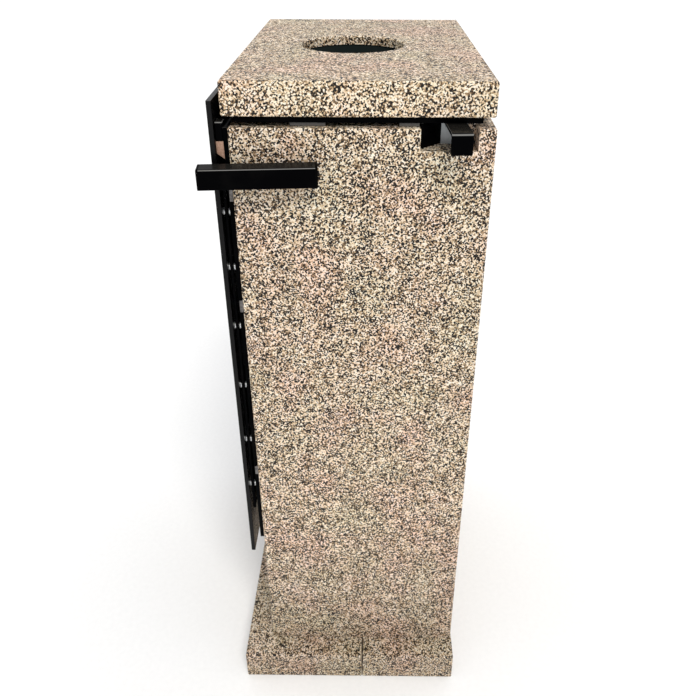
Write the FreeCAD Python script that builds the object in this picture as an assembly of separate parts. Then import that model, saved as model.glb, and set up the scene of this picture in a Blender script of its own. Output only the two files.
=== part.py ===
"""Granite ashtray bin: stone body on a plinth, hinged stone lid, hinged steel door and a lift-out liner.

Frame: origin on the floor at the centre of the stone body, +Z up, the door on the -Y side, the door's hinge
and the side bar on the +X side. All sizes are in millimetres.
"""
import FreeCAD, Part
import math
import os

Vector = FreeCAD.Vector
X_AXIS = Vector(1, 0, 0)
Y_AXIS = Vector(0, 1, 0)
Z_AXIS = Vector(0, 0, 1)

# ---- stone body -------------------------------------------------------------------------------
BODY_WIDTH = 500.0  # along X, over the two side slabs
BODY_DEPTH = 313.0  # along Y, the side slabs' own width
SIDE_SLAB = 34.0  # thickness of the side slabs
BACK_SLAB = 30.0  # thickness of the back slab
FRONT_SLAB = 30.0  # thickness of the lower front slab
FRONT_SLAB_HEIGHT = 252.0
SLAB_HEIGHT = 893.0
STONE_JOINT = 0.5  # mortar-free joint between two stones
STONE_EDGE = 1.5  # eased edge of every stone

PLINTH_HEIGHT = 54.0
PLINTH_SIDE_LEDGE = 39.0
PLINTH_FRONT_LEDGE = 43.0
PLINTH_REAR_LEDGE = 2.0
PLINTH_SPLIT_Y = 1.5
PLINTH_JOINT = 1.6

# ---- lid --------------------------------------------------------------------------------------
PAD_THICKNESS = 5.0
PAD_INSET = 10.0  # from the slab's face
LID_FRAME_THICKNESS = 8.0
LID_THICKNESS = 40.0
LID_FRONT_OVERHANG = 6.5
LID_REAR_INSET = 2.5
HOLE_RADIUS = 72.0
HOLE_Y = -16.0
LID_FRAME_FRONT_INSET = 13.0  # from the lid's front edge
LID_FRAME_REAR_INSET = 13.5
LID_FRAME_NEAR_INSET = 8.0
LID_FRAME_BAR = 40.0
LID_CROSS_BAR = 26.0
COLLAR_WALL = 3.0
HOLE_LIP = 12.0  # of stone above the collar, whose top sits in a counterbore
COLLAR_CLEARANCE = 0.5  # between the collar and its counterbore
COLLAR_GAP = 1.0  # the collar's bore is this much wider than the hole, on the radius
COLLAR_DROP = 72.0  # below the lid's underside
COLLAR_FLANGE = 14.0

# ---- side bar, a square tube ------------------------------------------------------------------
TUBE = 25.0
TUBE_WALL = 2.0
TUBE_CORNER = 2.5
CAP_PLATE = 3.0
CAP_PLUG = 14.0
CAP_FIT = 0.1

SIDE_BAR_LENGTH = 140.0
SIDE_BAR_REAR_Y = -52.0
SIDE_BAR_DROP = 50.5  # of its axis below the slab's top
SIDE_BAR_YAW = 5.0
SIDE_BAR_TOE = 0.6  # gap between the bar's rear end and the slab
WEDGE_REAR_SETBACK = 18.0
WEDGE_FRONT_SETBACK = 46.0
WEDGE_HEIGHT = 19.0
STUD_RADIUS = 4.0
STUD_DEPTH = 22.0

# ---- lift handle, and the notch that it leaves through ----------------------------------------
HANDLE_WIDTH = 25.0
HANDLE_THICKNESS = 4.0
HANDLE_LIP = 25.0  # height of its turned-down end
HANDLE_BEND = 5.0  # outer radius of the bend
HANDLE_CORNER = 1.5  # rounded lower corners of the turned-down end
HANDLE_LENGTH = 83.0
HANDLE_PROUD = 37.0  # past the near side slab's face
HANDLE_Y = 112.5  # of its outer end
HANDLE_YAW = 3.5
NOTCH_FRONT_Y = 68.0
NOTCH_REAR_Y = 136.0
NOTCH_DEPTH = 26.0
GUARD_THICKNESS = 3.0
GUARD_SETBACK = 9.0  # of its outer end from the slab's face
GUARD_HANDLE_GAP = 1.2  # between its rear end and the lift handle
GUARD_CLEARANCE = 0.6

# ---- door and its frame -----------------------------------------------------------------------
FRAME_THICKNESS = 6.0
FRAME_SIDE_INSET = 3.0
FRAME_BOTTOM_Z = 295.0
FRAME_JAMB = 63.0
FRAME_SILL = 36.0
FRAME_HEAD = 66.0
DOOR_THICKNESS = 6.0
DOOR_GAP = 10.0  # between the frame's face and the door's inner face
DOOR_BOTTOM_Z = 267.0
DOOR_LID_OVERLAP = 18.0  # height of the door above the lid's underside

HINGE_INSET = 4.0  # from the near edge of the door
HINGE_FACE_GAP = 4.7  # from the frame's face to the pin's axis
HINGE_BARREL_RADIUS = 2.2
HINGE_PIN_RADIUS = 1.2
HINGE_PIN_CLEARANCE = 0.05
HINGE_LEAF = 1.0
HINGE_LEAF_GAP = 0.4
HINGE_LEAF_WIDTH = 24.0
HINGE_BOTTOM_Z = 358.0
HINGE_TOP_DROP = 49.0  # below the slab's top
HINGE_KNUCKLES = 15
HINGE_KNUCKLE_GAP = 0.4
HINGE_SCREW_PLACES = (0.08, 0.24, 0.418, 0.596, 0.757, 0.896)  # along the hinge, from its foot
HINGE_SCREW_SETBACK = 7.2  # from the pin's axis
HINGE_SCREW_RADIUS = 1.6
HINGE_SCREW_HEAD_RADIUS = 3.0
HINGE_SCREW_BITE = 4.5
SPACER_RADIUS = 4.8

LUG_PLACES = ((0.2025, 15.0), (0.629, 17.0), (0.8635, 15.0))  # along the frame from its foot, and height
LUG_PROUD = 2.5
LUG_SETBACK = 1.5  # of the lugs' front from the frame's face
BRACKET_DROP = 16.0  # of its foot below the slab's top
BRACKET_HEIGHT = 22.0
BRACKET_WIDTH = 18.0
BRACKET_PROUD = 9.0
BRACKET_PAST_HINGE = 1.0  # stays inside the circle that the door's inner face keeps round the hinge pin
BRACKET_EDGE = 1.0
BUFFER_DROP = 38.0  # of its foot below the slab's top
BUFFER_HEIGHT = 21.5
BUFFER_WIDTH = 14.0
BUFFER_DOOR_GAP = 0.4
BUFFER_SLANT = 7.0
FRAME_SCREW_PLACES = (0.07, 0.27, 0.485, 0.7)  # along the frame, from its foot
FRAME_SCREW_RADIUS = 2.5
FRAME_SCREW_HEAD_RADIUS = 4.6

# ---- lock -------------------------------------------------------------------------------------
LOCK_Z = 620.0
LOCK_REACH = 17.0  # from the frame's opening to the lock's axis
LOCK_RADIUS = 9.0
LOCK_FLANGE_RADIUS = 11.5
LOCK_FLANGE = 2.5
LOCK_BODY_CLEARANCE = 0.2
LOCK_NUT = 4.0
LOCK_NUT_FLATS = 24.0
PLUG_RADIUS = 6.0
PLUG_CLEARANCE = 0.05
CAM_THICKNESS = 3.0
CAM_WIDTH = 16.0
CAM_LENGTH = 34.0  # from its axis to its tip
CAM_GAP = 1.0  # behind the post's leg
CAM_SCREW_RADIUS = 4.0
CAM_SCREW_HEAD = 3.0

# ---- steel carcass ----------------------------------------------------------------------------
PANEL = 2.0
POST_LEG = 30.0
POST_WALL = 3.0
POST_TOP_DROP = 32.0  # below the slab's top
RAIL = 30.0
RAIL_WALL = 3.0
FIT_GAP = 0.5
TRAY_WALL = 2.0
TRAY_LIP = 20.0
ANCHOR_RADIUS = 6.5
ANCHOR_INSET_X = 34.0  # from the side panels
ANCHOR_SPACING_Y = 160.0
BASE_RAIL_WIDTH = 34.0
DRAIN_RADIUS = 6.0

# ---- liner ------------------------------------------------------------------------------------
LINER_X = 320.0
LINER_Y = 204.0
LINER_HEIGHT = 440.0
LINER_WALL = 1.5
LINER_CORNER = 28.0
LINER_RIM = 6.0
LINER_RIM_HEIGHT = 12.0
LINER_Y_CENTRE = -4.0
GUIDE_HEIGHT = 25.0
GUIDE_WALL = 3.0
GUIDE_GAP = 2.0
BAIL_RADIUS = 4.0
BAIL_DROP = 34.0  # of the pivot below the rim
BAIL_CLEARANCE = 0.08
BAIL_REACH = 116.5
BAIL_ARM_GAP = 1.5  # between the arms and the ears' bosses
BAIL_BEND = 18.0
BAIL_END_BEND = 6.0
BAIL_WALL_GAP = 0.4  # between the folded bail and the liner's wall
BAIL_STUB_GAP = 0.5  # between the bail's ends and the liner's wall
EAR_SIZE = 34.0
EAR_THICKNESS = 3.0
EAR_BOSS_RADIUS = 8.0
EAR_BOSS = 5.0

# ---- lid hinges -------------------------------------------------------------------------------
LID_HINGE_Y = (-95.0, 90.0)
LID_HINGE_OUTSET = 10.0
LID_HINGE_RISE = 9.0  # of the pin's axis above the slab's top
LID_HINGE_BARREL_RADIUS = 7.0
LID_HINGE_PIN_RADIUS = 3.5
LID_HINGE_PIN_CLEARANCE = 0.05
LID_HINGE_WIDTH = 70.0
LID_HINGE_KNUCKLE = 20.0
LID_HINGE_GAP = 0.5
LID_HINGE_LEAF = 4.0
LID_HINGE_LEAF_HEIGHT = 60.0
LID_HINGE_WEB_DROP = 5.5  # of the web's underside below the pin's axis
LID_HINGE_BOLT_RADIUS = 4.0
LID_HINGE_BOLT_HEAD_RADIUS = 6.5
LID_HINGE_BOLT_HEAD = 4.5
LID_HINGE_BOLT_DEPTH = 20.0
LID_SCREW_RADIUS = 4.0
LID_SCREW_HEAD_RADIUS = 6.5
LID_SCREW_HEAD = 4.0
LID_SCREW_DEPTH = 22.0

# ---- derived places ---------------------------------------------------------------------------
FACE_X = BODY_WIDTH / 2
FACE_Y = BODY_DEPTH / 2
INNER_X = FACE_X - SIDE_SLAB
SLAB_TOP = PLINTH_HEIGHT + SLAB_HEIGHT
LID_FRAME_BOTTOM = SLAB_TOP + PAD_THICKNESS
LID_BOTTOM = LID_FRAME_BOTTOM + LID_FRAME_THICKNESS
LID_TOP = LID_BOTTOM + LID_THICKNESS
LID_FRONT_Y = -FACE_Y - LID_FRONT_OVERHANG
LID_REAR_Y = FACE_Y - LID_REAR_INSET
LID_FRAME_FRONT_Y = LID_FRONT_Y + LID_FRAME_FRONT_INSET
LID_FRAME_REAR_Y = LID_REAR_Y - LID_FRAME_REAR_INSET
LID_FRAME_NEAR_X = FACE_X - LID_FRAME_NEAR_INSET
NOTCH_FLOOR = SLAB_TOP - NOTCH_DEPTH
PANEL_INNER_X = INNER_X - PANEL
FRAME_FACE_Y = -FACE_Y - FRAME_THICKNESS
DOOR_INNER_Y = FRAME_FACE_Y - DOOR_GAP
DOOR_OUTER_Y = DOOR_INNER_Y - DOOR_THICKNESS
DOOR_TOP_Z = LID_BOTTOM + DOOR_LID_OVERLAP
SIDE_BAR_Z = SLAB_TOP - SIDE_BAR_DROP
HINGE_X = FACE_X - HINGE_INSET
HINGE_Y = FRAME_FACE_Y - HINGE_FACE_GAP
HINGE_TOP_Z = SLAB_TOP - HINGE_TOP_DROP
HINGE_SCREW_Z = [HINGE_BOTTOM_Z + place * (HINGE_TOP_Z - HINGE_BOTTOM_Z) for place in HINGE_SCREW_PLACES]
FRAME_HEIGHT = SLAB_TOP - FRAME_BOTTOM_Z
POST_TOP_Z = SLAB_TOP - POST_TOP_DROP
ANCHOR_X = PANEL_INNER_X - ANCHOR_INSET_X
OPENING_X = FACE_X - FRAME_SIDE_INSET - FRAME_JAMB
OPENING_BOTTOM = FRAME_BOTTOM_Z + FRAME_SILL
OPENING_TOP = SLAB_TOP - FRAME_HEAD
COLLAR_BORE = HOLE_RADIUS + COLLAR_GAP
COLLAR_RADIUS = COLLAR_BORE + COLLAR_WALL
FLOOR_Z = OPENING_BOTTOM
LINER_FLOOR = FLOOR_Z + TRAY_WALL
LINER_TOP = LINER_FLOOR + LINER_HEIGHT


# ---- small builders ---------------------------------------------------------------------------
def box(x0, x1, y0, y1, z0, z1):
    """A box from its lowest to its highest corner."""
    return Part.makeBox(x1 - x0, y1 - y0, z1 - z0, Vector(x0, y0, z0))


def rod(radius, start, axis, length):
    """A solid cylinder that begins at start and runs along axis."""
    return Part.makeCylinder(radius, length, Vector(*start), axis)


def eased(solid, size=STONE_EDGE):
    """Every sharp edge of a stone is taken off by a small chamfer."""
    return solid.makeChamfer(size, solid.Edges)


def upright_edges(solid, low, high):
    """The edges of a solid that run straight up from low to high."""
    found = []
    for edge in solid.Edges:
        bounds = edge.BoundBox
        thin = bounds.XLength < 0.01 and bounds.YLength < 0.01
        if thin and abs(bounds.ZMin - low) < 0.01 and abs(bounds.ZMax - high) < 0.01:
            found.append(edge)
    return found


def mirrored_x(solid):
    """The same solid on the other side of the plane X = 0."""
    return solid.mirror(Vector(0, 0, 0), X_AXIS)


def square_tube(length):
    """A square tube along +X from the origin, centred on Y = 0, Z = 0, with rounded corners."""
    half = TUBE / 2
    outer = box(0, length, -half, half, -half, half)
    long_edges = [edge for edge in outer.Edges if edge.BoundBox.XLength > length / 2]
    outer = outer.makeFillet(TUBE_CORNER, long_edges)
    inner_half = half - TUBE_WALL
    return outer.cut(box(-1, length + 1, -inner_half, inner_half, -inner_half, inner_half))


def tube_cap(length, at_far_end):
    """The plastic cap of a square tube's end: a plate on the end and a plug inside."""
    half = TUBE / 2
    plate = box(length, length + CAP_PLATE, -half, half, -half, half)
    plate = plate.makeFillet(TUBE_CORNER, [e for e in plate.Edges if e.BoundBox.XLength > CAP_PLATE / 2])
    rim = [e for e in plate.Edges if e.BoundBox.XMin > length + CAP_PLATE - 0.01]
    plate = plate.makeChamfer(0.8, rim)
    plug_half = half - TUBE_WALL - CAP_FIT
    cap = plate.fuse(box(length - CAP_PLUG, length, -plug_half, plug_half, -plug_half, plug_half))
    if at_far_end:
        return cap.removeSplitter()
    return cap.removeSplitter().mirror(Vector(length / 2, 0, 0), X_AXIS)


def placed(solid, position, yaw):
    """A solid turned about Z by yaw degrees and then moved."""
    moved = solid.copy()
    moved.rotate(Vector(0, 0, 0), Z_AXIS, yaw)
    moved.translate(Vector(*position))
    return moved


def angle_bar(x0, y0, z0, leg, wall, length, turn):
    """An upright angle section, its outer corner at x0, y0 and its legs turned about Z by turn degrees."""
    leg_a = box(0, leg, 0, wall, 0, length)
    leg_b = box(0, wall, 0, leg, 0, length)
    section = leg_a.fuse(leg_b).removeSplitter()
    section.rotate(Vector(0, 0, 0), Z_AXIS, turn)
    section.translate(Vector(x0, y0, z0))
    return section


def countersunk_screw(radius, head_radius, length, face, direction):
    """A countersunk screw whose flat head is flush with face."""
    depth = head_radius - radius
    head = Part.makeCone(head_radius, radius, depth, Vector(*face), direction)
    return head.fuse(rod(radius, face, direction, length)).removeSplitter()


def rounded_box(x0, x1, y0, y1, z0, z1, corner):
    """A box with its four upright edges rounded."""
    solid = box(x0, x1, y0, y1, z0, z1)
    return solid.makeFillet(corner, upright_edges(solid, z0, z1))


# ---- stones -----------------------------------------------------------------------------------
def anchor_points():
    """The four floor anchors, in the rails on the plinth."""
    half_y = ANCHOR_SPACING_Y / 2
    return [(x, y) for x in (-ANCHOR_X, ANCHOR_X) for y in (-half_y, half_y)]


def drilled_for_anchors(solid, low, high):
    """A solid with the anchor holes through it."""
    for x, y in anchor_points():
        solid = solid.cut(rod(ANCHOR_RADIUS, (x, y, low - 1), Z_AXIS, high - low + 2))
    return solid


def make_plinth():
    """The two plinth stones, split across X."""
    side = FACE_X + PLINTH_SIDE_LEDGE
    half_joint = PLINTH_JOINT / 2
    front = box(-side, side, -FACE_Y - PLINTH_FRONT_LEDGE, PLINTH_SPLIT_Y - half_joint, 0, PLINTH_HEIGHT)
    rear = box(-side, side, PLINTH_SPLIT_Y + half_joint, FACE_Y + PLINTH_REAR_LEDGE, 0, PLINTH_HEIGHT)
    return {
        "plinth_front_stone": drilled_for_anchors(eased(front), 0, PLINTH_HEIGHT),
        "plinth_rear_stone": drilled_for_anchors(eased(rear), 0, PLINTH_HEIGHT),
    }


def side_slab_blank():
    """A side slab on the +X side, before its own cuts."""
    return eased(box(INNER_X, FACE_X, -FACE_Y, FACE_Y, PLINTH_HEIGHT, SLAB_TOP))


def stud_places():
    """The side bar's two studs in the near slab."""
    front = SIDE_BAR_REAR_Y - WEDGE_REAR_SETBACK - 16
    rear = SIDE_BAR_REAR_Y - SIDE_BAR_LENGTH + WEDGE_FRONT_SETBACK + 12
    return [(front, SIDE_BAR_Z), (rear, SIDE_BAR_Z)]


def hinge_bolt_places():
    """The lid hinge bolts on the far slab's outer face, as Y and Z."""
    places = []
    for centre in LID_HINGE_Y:
        for shift in (-LID_HINGE_WIDTH / 4, LID_HINGE_WIDTH / 4):
            for drop in (LID_HINGE_LEAF_HEIGHT * 0.4, LID_HINGE_LEAF_HEIGHT * 0.75):
                places.append((centre + shift, SLAB_TOP - drop))
    return places


def make_body_stones():
    """The side slabs, the back slab and the lower front slab."""
    notch = box(INNER_X - 1, FACE_X + 1, NOTCH_FRONT_Y, NOTCH_REAR_Y, NOTCH_FLOOR, SLAB_TOP + 5)
    near = side_slab_blank().cut(notch)
    for y, z in stud_places():
        near = near.cut(rod(STUD_RADIUS, (FACE_X - STUD_DEPTH, y, z), X_AXIS, STUD_DEPTH + 1))
    far = mirrored_x(side_slab_blank())
    for y, z in hinge_bolt_places():
        start = (-FACE_X - 1, y, z)
        far = far.cut(rod(LID_HINGE_BOLT_RADIUS, start, X_AXIS, LID_HINGE_BOLT_DEPTH + 1))
    inner = INNER_X - STONE_JOINT
    back = eased(box(-inner, inner, FACE_Y - BACK_SLAB, FACE_Y, PLINTH_HEIGHT, SLAB_TOP))
    top = PLINTH_HEIGHT + FRONT_SLAB_HEIGHT
    front_x = PANEL_INNER_X - STONE_JOINT
    front = eased(box(-front_x, front_x, -FACE_Y, -FACE_Y + FRONT_SLAB, PLINTH_HEIGHT, top))
    return {"side_slab_near": near, "side_slab_far": far, "back_slab": back, "front_slab": front}


# ---- lid --------------------------------------------------------------------------------------
def lid_screw_places():
    """The screws that hold the lid stone on its frame."""
    x = LID_FRAME_NEAR_X - LID_FRAME_BAR / 2
    front = LID_FRAME_FRONT_Y + LID_FRAME_BAR / 2
    rear = LID_FRAME_REAR_Y - LID_FRAME_BAR / 2
    middle = (LID_FRAME_FRONT_Y + LID_FRAME_REAR_Y) / 2
    return [(-x, front), (0, front), (x, front), (-x, middle), (x, middle), (-x, rear), (0, rear)]


def lid_frame_windows():
    """The three open windows in the lid frame, as X ranges."""
    edge = LID_FRAME_NEAR_X - LID_FRAME_BAR
    inner = COLLAR_RADIUS
    outer = COLLAR_RADIUS + LID_CROSS_BAR
    return [(-edge, -outer), (-inner, inner), (outer, edge)]


def make_lid():
    """The lid stone, its steel frame, the chute collar and the screws."""
    slab = eased(box(-FACE_X, FACE_X, LID_FRONT_Y, LID_REAR_Y, LID_BOTTOM, LID_TOP))
    slab = slab.cut(rod(HOLE_RADIUS, (0, HOLE_Y, LID_BOTTOM - 1), Z_AXIS, LID_THICKNESS + 2))
    rims = [e for e in slab.Edges if hasattr(e.Curve, "Radius") and abs(e.Curve.Radius - HOLE_RADIUS) < 0.01]
    slab = slab.makeChamfer(STONE_EDGE, rims)
    counterbore_radius = COLLAR_RADIUS + COLLAR_CLEARANCE
    counterbore = rod(counterbore_radius, (0, HOLE_Y, LID_BOTTOM - 1), Z_AXIS, LID_THICKNESS + 1 - HOLE_LIP)
    slab = slab.cut(counterbore)
    low_x = -LID_FRAME_NEAR_X
    frame = box(low_x, LID_FRAME_NEAR_X, LID_FRAME_FRONT_Y, LID_FRAME_REAR_Y, LID_FRAME_BOTTOM, LID_BOTTOM)
    for x0, x1 in lid_frame_windows():
        low_y = LID_FRAME_FRONT_Y + LID_FRAME_BAR
        high_y = LID_FRAME_REAR_Y - LID_FRAME_BAR
        frame = frame.cut(box(x0, x1, low_y, high_y, LID_FRAME_BOTTOM - 1, LID_BOTTOM + 1))
    screws = []
    for x, y in lid_screw_places():
        head = rod(LID_SCREW_HEAD_RADIUS, (x, y, LID_FRAME_BOTTOM - LID_SCREW_HEAD), Z_AXIS, LID_SCREW_HEAD)
        shank_length = LID_FRAME_THICKNESS + LID_SCREW_DEPTH
        shank = rod(LID_SCREW_RADIUS, (x, y, LID_FRAME_BOTTOM - 0.01), Z_AXIS, shank_length + 0.01)
        hole = rod(LID_SCREW_RADIUS, (x, y, LID_FRAME_BOTTOM - 1), Z_AXIS, shank_length + 1)
        slab = slab.cut(hole)
        frame = frame.cut(hole)
        screws.append(head.fuse(shank).removeSplitter())
    collar_bottom = LID_BOTTOM - COLLAR_DROP
    collar_height = COLLAR_DROP + LID_THICKNESS - HOLE_LIP - COLLAR_CLEARANCE
    collar = rod(COLLAR_RADIUS, (0, HOLE_Y, collar_bottom), Z_AXIS, collar_height)
    flange_z = LID_FRAME_BOTTOM - COLLAR_WALL
    flange = rod(COLLAR_RADIUS + COLLAR_FLANGE, (0, HOLE_Y, flange_z), Z_AXIS, COLLAR_WALL)
    collar = collar.fuse(flange).removeSplitter()
    collar = collar.cut(rod(COLLAR_BORE, (0, HOLE_Y, collar_bottom - 1), Z_AXIS, collar_height + 2))
    return {
        "lid_slab": slab,
        "lid_frame": frame,
        "chute_collar": collar,
        "lid_anchor_screws": Part.makeCompound(screws),
    }


def make_lift_handle():
    """The flat steel handle welded under the lid frame, bent down at its outer end."""
    half = HANDLE_WIDTH / 2
    inner = HANDLE_LENGTH - HANDLE_THICKNESS
    plate = box(0, HANDLE_LENGTH, -half, half, -HANDLE_THICKNESS, 0)
    lip = box(inner, HANDLE_LENGTH, -half, half, -HANDLE_LIP, 0)
    handle = plate.fuse(lip).removeSplitter()
    for x, z, radius in (
        (HANDLE_LENGTH, 0, HANDLE_BEND),
        (inner, -HANDLE_THICKNESS, HANDLE_BEND - HANDLE_THICKNESS),
    ):
        bends = [e for e in handle.Edges if (e.CenterOfMass - Vector(x, 0, z)).Length < 0.01]
        handle = handle.makeFillet(radius, bends)
    corners = [e for e in handle.Edges if e.BoundBox.ZMax < 0.01 - HANDLE_LIP and e.BoundBox.YLength < 0.01]
    handle = handle.makeFillet(HANDLE_CORNER, corners)
    yaw = math.radians(HANDLE_YAW)
    start_x = FACE_X + HANDLE_PROUD - HANDLE_LENGTH * math.cos(yaw)
    start = (start_x, HANDLE_Y - HANDLE_LENGTH * math.sin(yaw), LID_FRAME_BOTTOM)
    return {"lift_handle": placed(handle, start, HANDLE_YAW)}


def make_rest_pads():
    """Rubber pads on the side slabs' tops, under the lid frame."""
    pads = []
    for y0, y1 in ((-85.0, -43.0), (43.0, NOTCH_FRONT_Y - 1)):
        pad = box(INNER_X + 2, FACE_X - PAD_INSET, y0, y1, SLAB_TOP, LID_FRAME_BOTTOM)
        pads.append(pad)
        pads.append(mirrored_x(pad))
    return {"lid_rest_pads": Part.makeCompound(pads)}


def make_notch_guard():
    """The folded plate that closes the notch in front of the lift handle, fixed to the side panel's face."""
    outer_x = FACE_X - GUARD_SETBACK
    low = NOTCH_FLOOR + GUARD_CLEARANCE
    high = LID_FRAME_BOTTOM - GUARD_CLEARANCE
    front_y = NOTCH_FRONT_Y + GUARD_CLEARANCE
    yaw = math.radians(HANDLE_YAW)
    handle_run = FACE_X + HANDLE_PROUD - INNER_X
    handle_edge = HANDLE_Y - handle_run * math.tan(yaw) - HANDLE_WIDTH / 2 / math.cos(yaw)
    rear_y = handle_edge - GUARD_HANDLE_GAP
    run = outer_x - INNER_X
    rise = rear_y - front_y
    across = GUARD_THICKNESS * math.hypot(run, rise) / rise
    fold_x = INNER_X + GUARD_THICKNESS
    fold_y = front_y + (outer_x - across - fold_x) * rise / run
    corners = [
        Vector(outer_x, front_y, low),
        Vector(outer_x - across, front_y, low),
        Vector(fold_x, fold_y, low),
        Vector(fold_x, front_y, low),
        Vector(INNER_X, front_y, low),
        Vector(INNER_X, rear_y, low),
    ]
    face = Part.Face(Part.makePolygon(corners + [corners[0]]))
    return {"notch_guard": face.extrude(Vector(0, 0, high - low))}


# ---- lid hinges -------------------------------------------------------------------------------
def make_lid_hinges():
    """Two strap hinges at the far side: brackets on the slab, straps on the lid frame, and the pins."""
    axis_x = -FACE_X - LID_HINGE_OUTSET
    axis_z = SLAB_TOP + LID_HINGE_RISE
    half = LID_HINGE_WIDTH / 2
    knuckle_half = LID_HINGE_KNUCKLE / 2
    leaf_x = -FACE_X - LID_HINGE_LEAF
    brackets = []
    straps = []
    pins = []
    for centre in LID_HINGE_Y:
        leaf = box(leaf_x, -FACE_X, centre - half, centre + half, SLAB_TOP - LID_HINGE_LEAF_HEIGHT, axis_z)
        bracket = leaf
        for y0, y1 in ((centre - half, centre - knuckle_half), (centre + knuckle_half, centre + half)):
            barrel = rod(LID_HINGE_BARREL_RADIUS, (axis_x, y0, axis_z), Y_AXIS, y1 - y0)
            web = box(axis_x, -FACE_X, y0, y1, axis_z - LID_HINGE_WEB_DROP, axis_z - 1)
            bracket = bracket.fuse(barrel).fuse(web)
        middle_low = centre - knuckle_half - LID_HINGE_GAP
        middle_high = centre + knuckle_half + LID_HINGE_GAP
        relief = axis_z - LID_HINGE_BARREL_RADIUS - 2
        bracket = bracket.cut(box(leaf_x - 20, -FACE_X + 1, middle_low, middle_high, relief, axis_z + 10))
        bracket = bracket.removeSplitter()
        bracket = bracket.cut(rod(LID_HINGE_PIN_RADIUS, (axis_x, centre - half - 1, axis_z), Y_AXIS, 2 * half + 2))
        strap = box(axis_x, -LID_FRAME_NEAR_X, centre - knuckle_half, centre + knuckle_half,
                    LID_FRAME_BOTTOM, LID_BOTTOM)
        strap = strap.fuse(rod(LID_HINGE_BARREL_RADIUS, (axis_x, centre - knuckle_half, axis_z), Y_AXIS,
                               LID_HINGE_KNUCKLE)).removeSplitter()
        bore_radius = LID_HINGE_PIN_RADIUS + LID_HINGE_PIN_CLEARANCE
        strap = strap.cut(rod(bore_radius, (axis_x, centre - half, axis_z), Y_AXIS, 2 * half))
        pin = rod(LID_HINGE_PIN_RADIUS, (axis_x, centre - half, axis_z), Y_AXIS, 2 * half)
        for y0, way in ((centre - half, -1), (centre + half, 1)):
            head = Part.makeCylinder(LID_HINGE_PIN_RADIUS + 1.5, 2, Vector(axis_x, y0, axis_z), Vector(0, way, 0))
            pin = pin.fuse(head)
        brackets.append(bracket)
        straps.append(strap)
        pins.append(pin.removeSplitter())
    bolts = []
    for y, z in hinge_bolt_places():
        shank = rod(LID_HINGE_BOLT_RADIUS, (leaf_x, y, z), X_AXIS, LID_HINGE_LEAF + LID_HINGE_BOLT_DEPTH)
        head = Part.makeCone(LID_HINGE_BOLT_HEAD_RADIUS * 0.7, LID_HINGE_BOLT_HEAD_RADIUS, LID_HINGE_BOLT_HEAD,
                             Vector(leaf_x - LID_HINGE_BOLT_HEAD, y, z), X_AXIS)
        bolts.append(head.fuse(shank).removeSplitter())
        hole = rod(LID_HINGE_BOLT_RADIUS, (leaf_x - 1, y, z), X_AXIS, LID_HINGE_LEAF + 1)
        brackets = [bracket.cut(hole) for bracket in brackets]
    return {
        "lid_hinge_brackets": Part.makeCompound(brackets),
        "lid_hinge_straps": Part.makeCompound(straps),
        "lid_hinge_pins": Part.makeCompound(pins),
        "lid_hinge_bolts": Part.makeCompound(bolts),
    }


# ---- door, frame and hinge --------------------------------------------------------------------
def hinge_screws(face_y, direction):
    """The row of countersunk screws of one hinge leaf."""
    depth = HINGE_LEAF + HINGE_SCREW_BITE
    if direction.y < 0:
        depth += DOOR_GAP - HINGE_FACE_GAP - HINGE_LEAF_GAP / 2 - HINGE_LEAF
    else:
        depth += HINGE_FACE_GAP - HINGE_LEAF_GAP / 2 - HINGE_LEAF
    x = HINGE_X - HINGE_SCREW_SETBACK
    return [
        countersunk_screw(HINGE_SCREW_RADIUS, HINGE_SCREW_HEAD_RADIUS, depth, (x, face_y, z), direction)
        for z in HINGE_SCREW_Z
    ]


def hinge_leaf(side):
    """One leaf of the continuous hinge with every second knuckle; side is -1 for the door, +1 for the frame."""
    gap = HINGE_LEAF_GAP / 2
    near_y = HINGE_Y + side * gap
    far_y = HINGE_Y + side * (gap + HINGE_LEAF)
    low_x = HINGE_X - HINGE_LEAF_WIDTH
    barrel = HINGE_BARREL_RADIUS
    plate = box(low_x, HINGE_X, min(near_y, far_y), max(near_y, far_y), HINGE_BOTTOM_Z, HINGE_TOP_Z)
    pitch = (HINGE_TOP_Z - HINGE_BOTTOM_Z) / HINGE_KNUCKLES
    first = 0 if side > 0 else 1
    for index in range(HINGE_KNUCKLES):
        low = HINGE_BOTTOM_Z + index * pitch
        high = low + pitch
        if index % 2 == first:
            knuckle = rod(barrel, (HINGE_X, HINGE_Y, low + HINGE_KNUCKLE_GAP / 2), Z_AXIS, pitch - HINGE_KNUCKLE_GAP)
            plate = plate.fuse(knuckle)
        else:
            reach = barrel + HINGE_KNUCKLE_GAP
            plate = plate.cut(box(HINGE_X - reach, HINGE_X + reach, HINGE_Y - 5, HINGE_Y + 5, low, high))
    bore = HINGE_PIN_RADIUS + (HINGE_PIN_CLEARANCE if side < 0 else 0)
    length = HINGE_TOP_Z - HINGE_BOTTOM_Z
    plate = plate.removeSplitter().cut(rod(bore, (HINGE_X, HINGE_Y, HINGE_BOTTOM_Z - 1), Z_AXIS, length + 2))
    return plate, near_y, far_y


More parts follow.
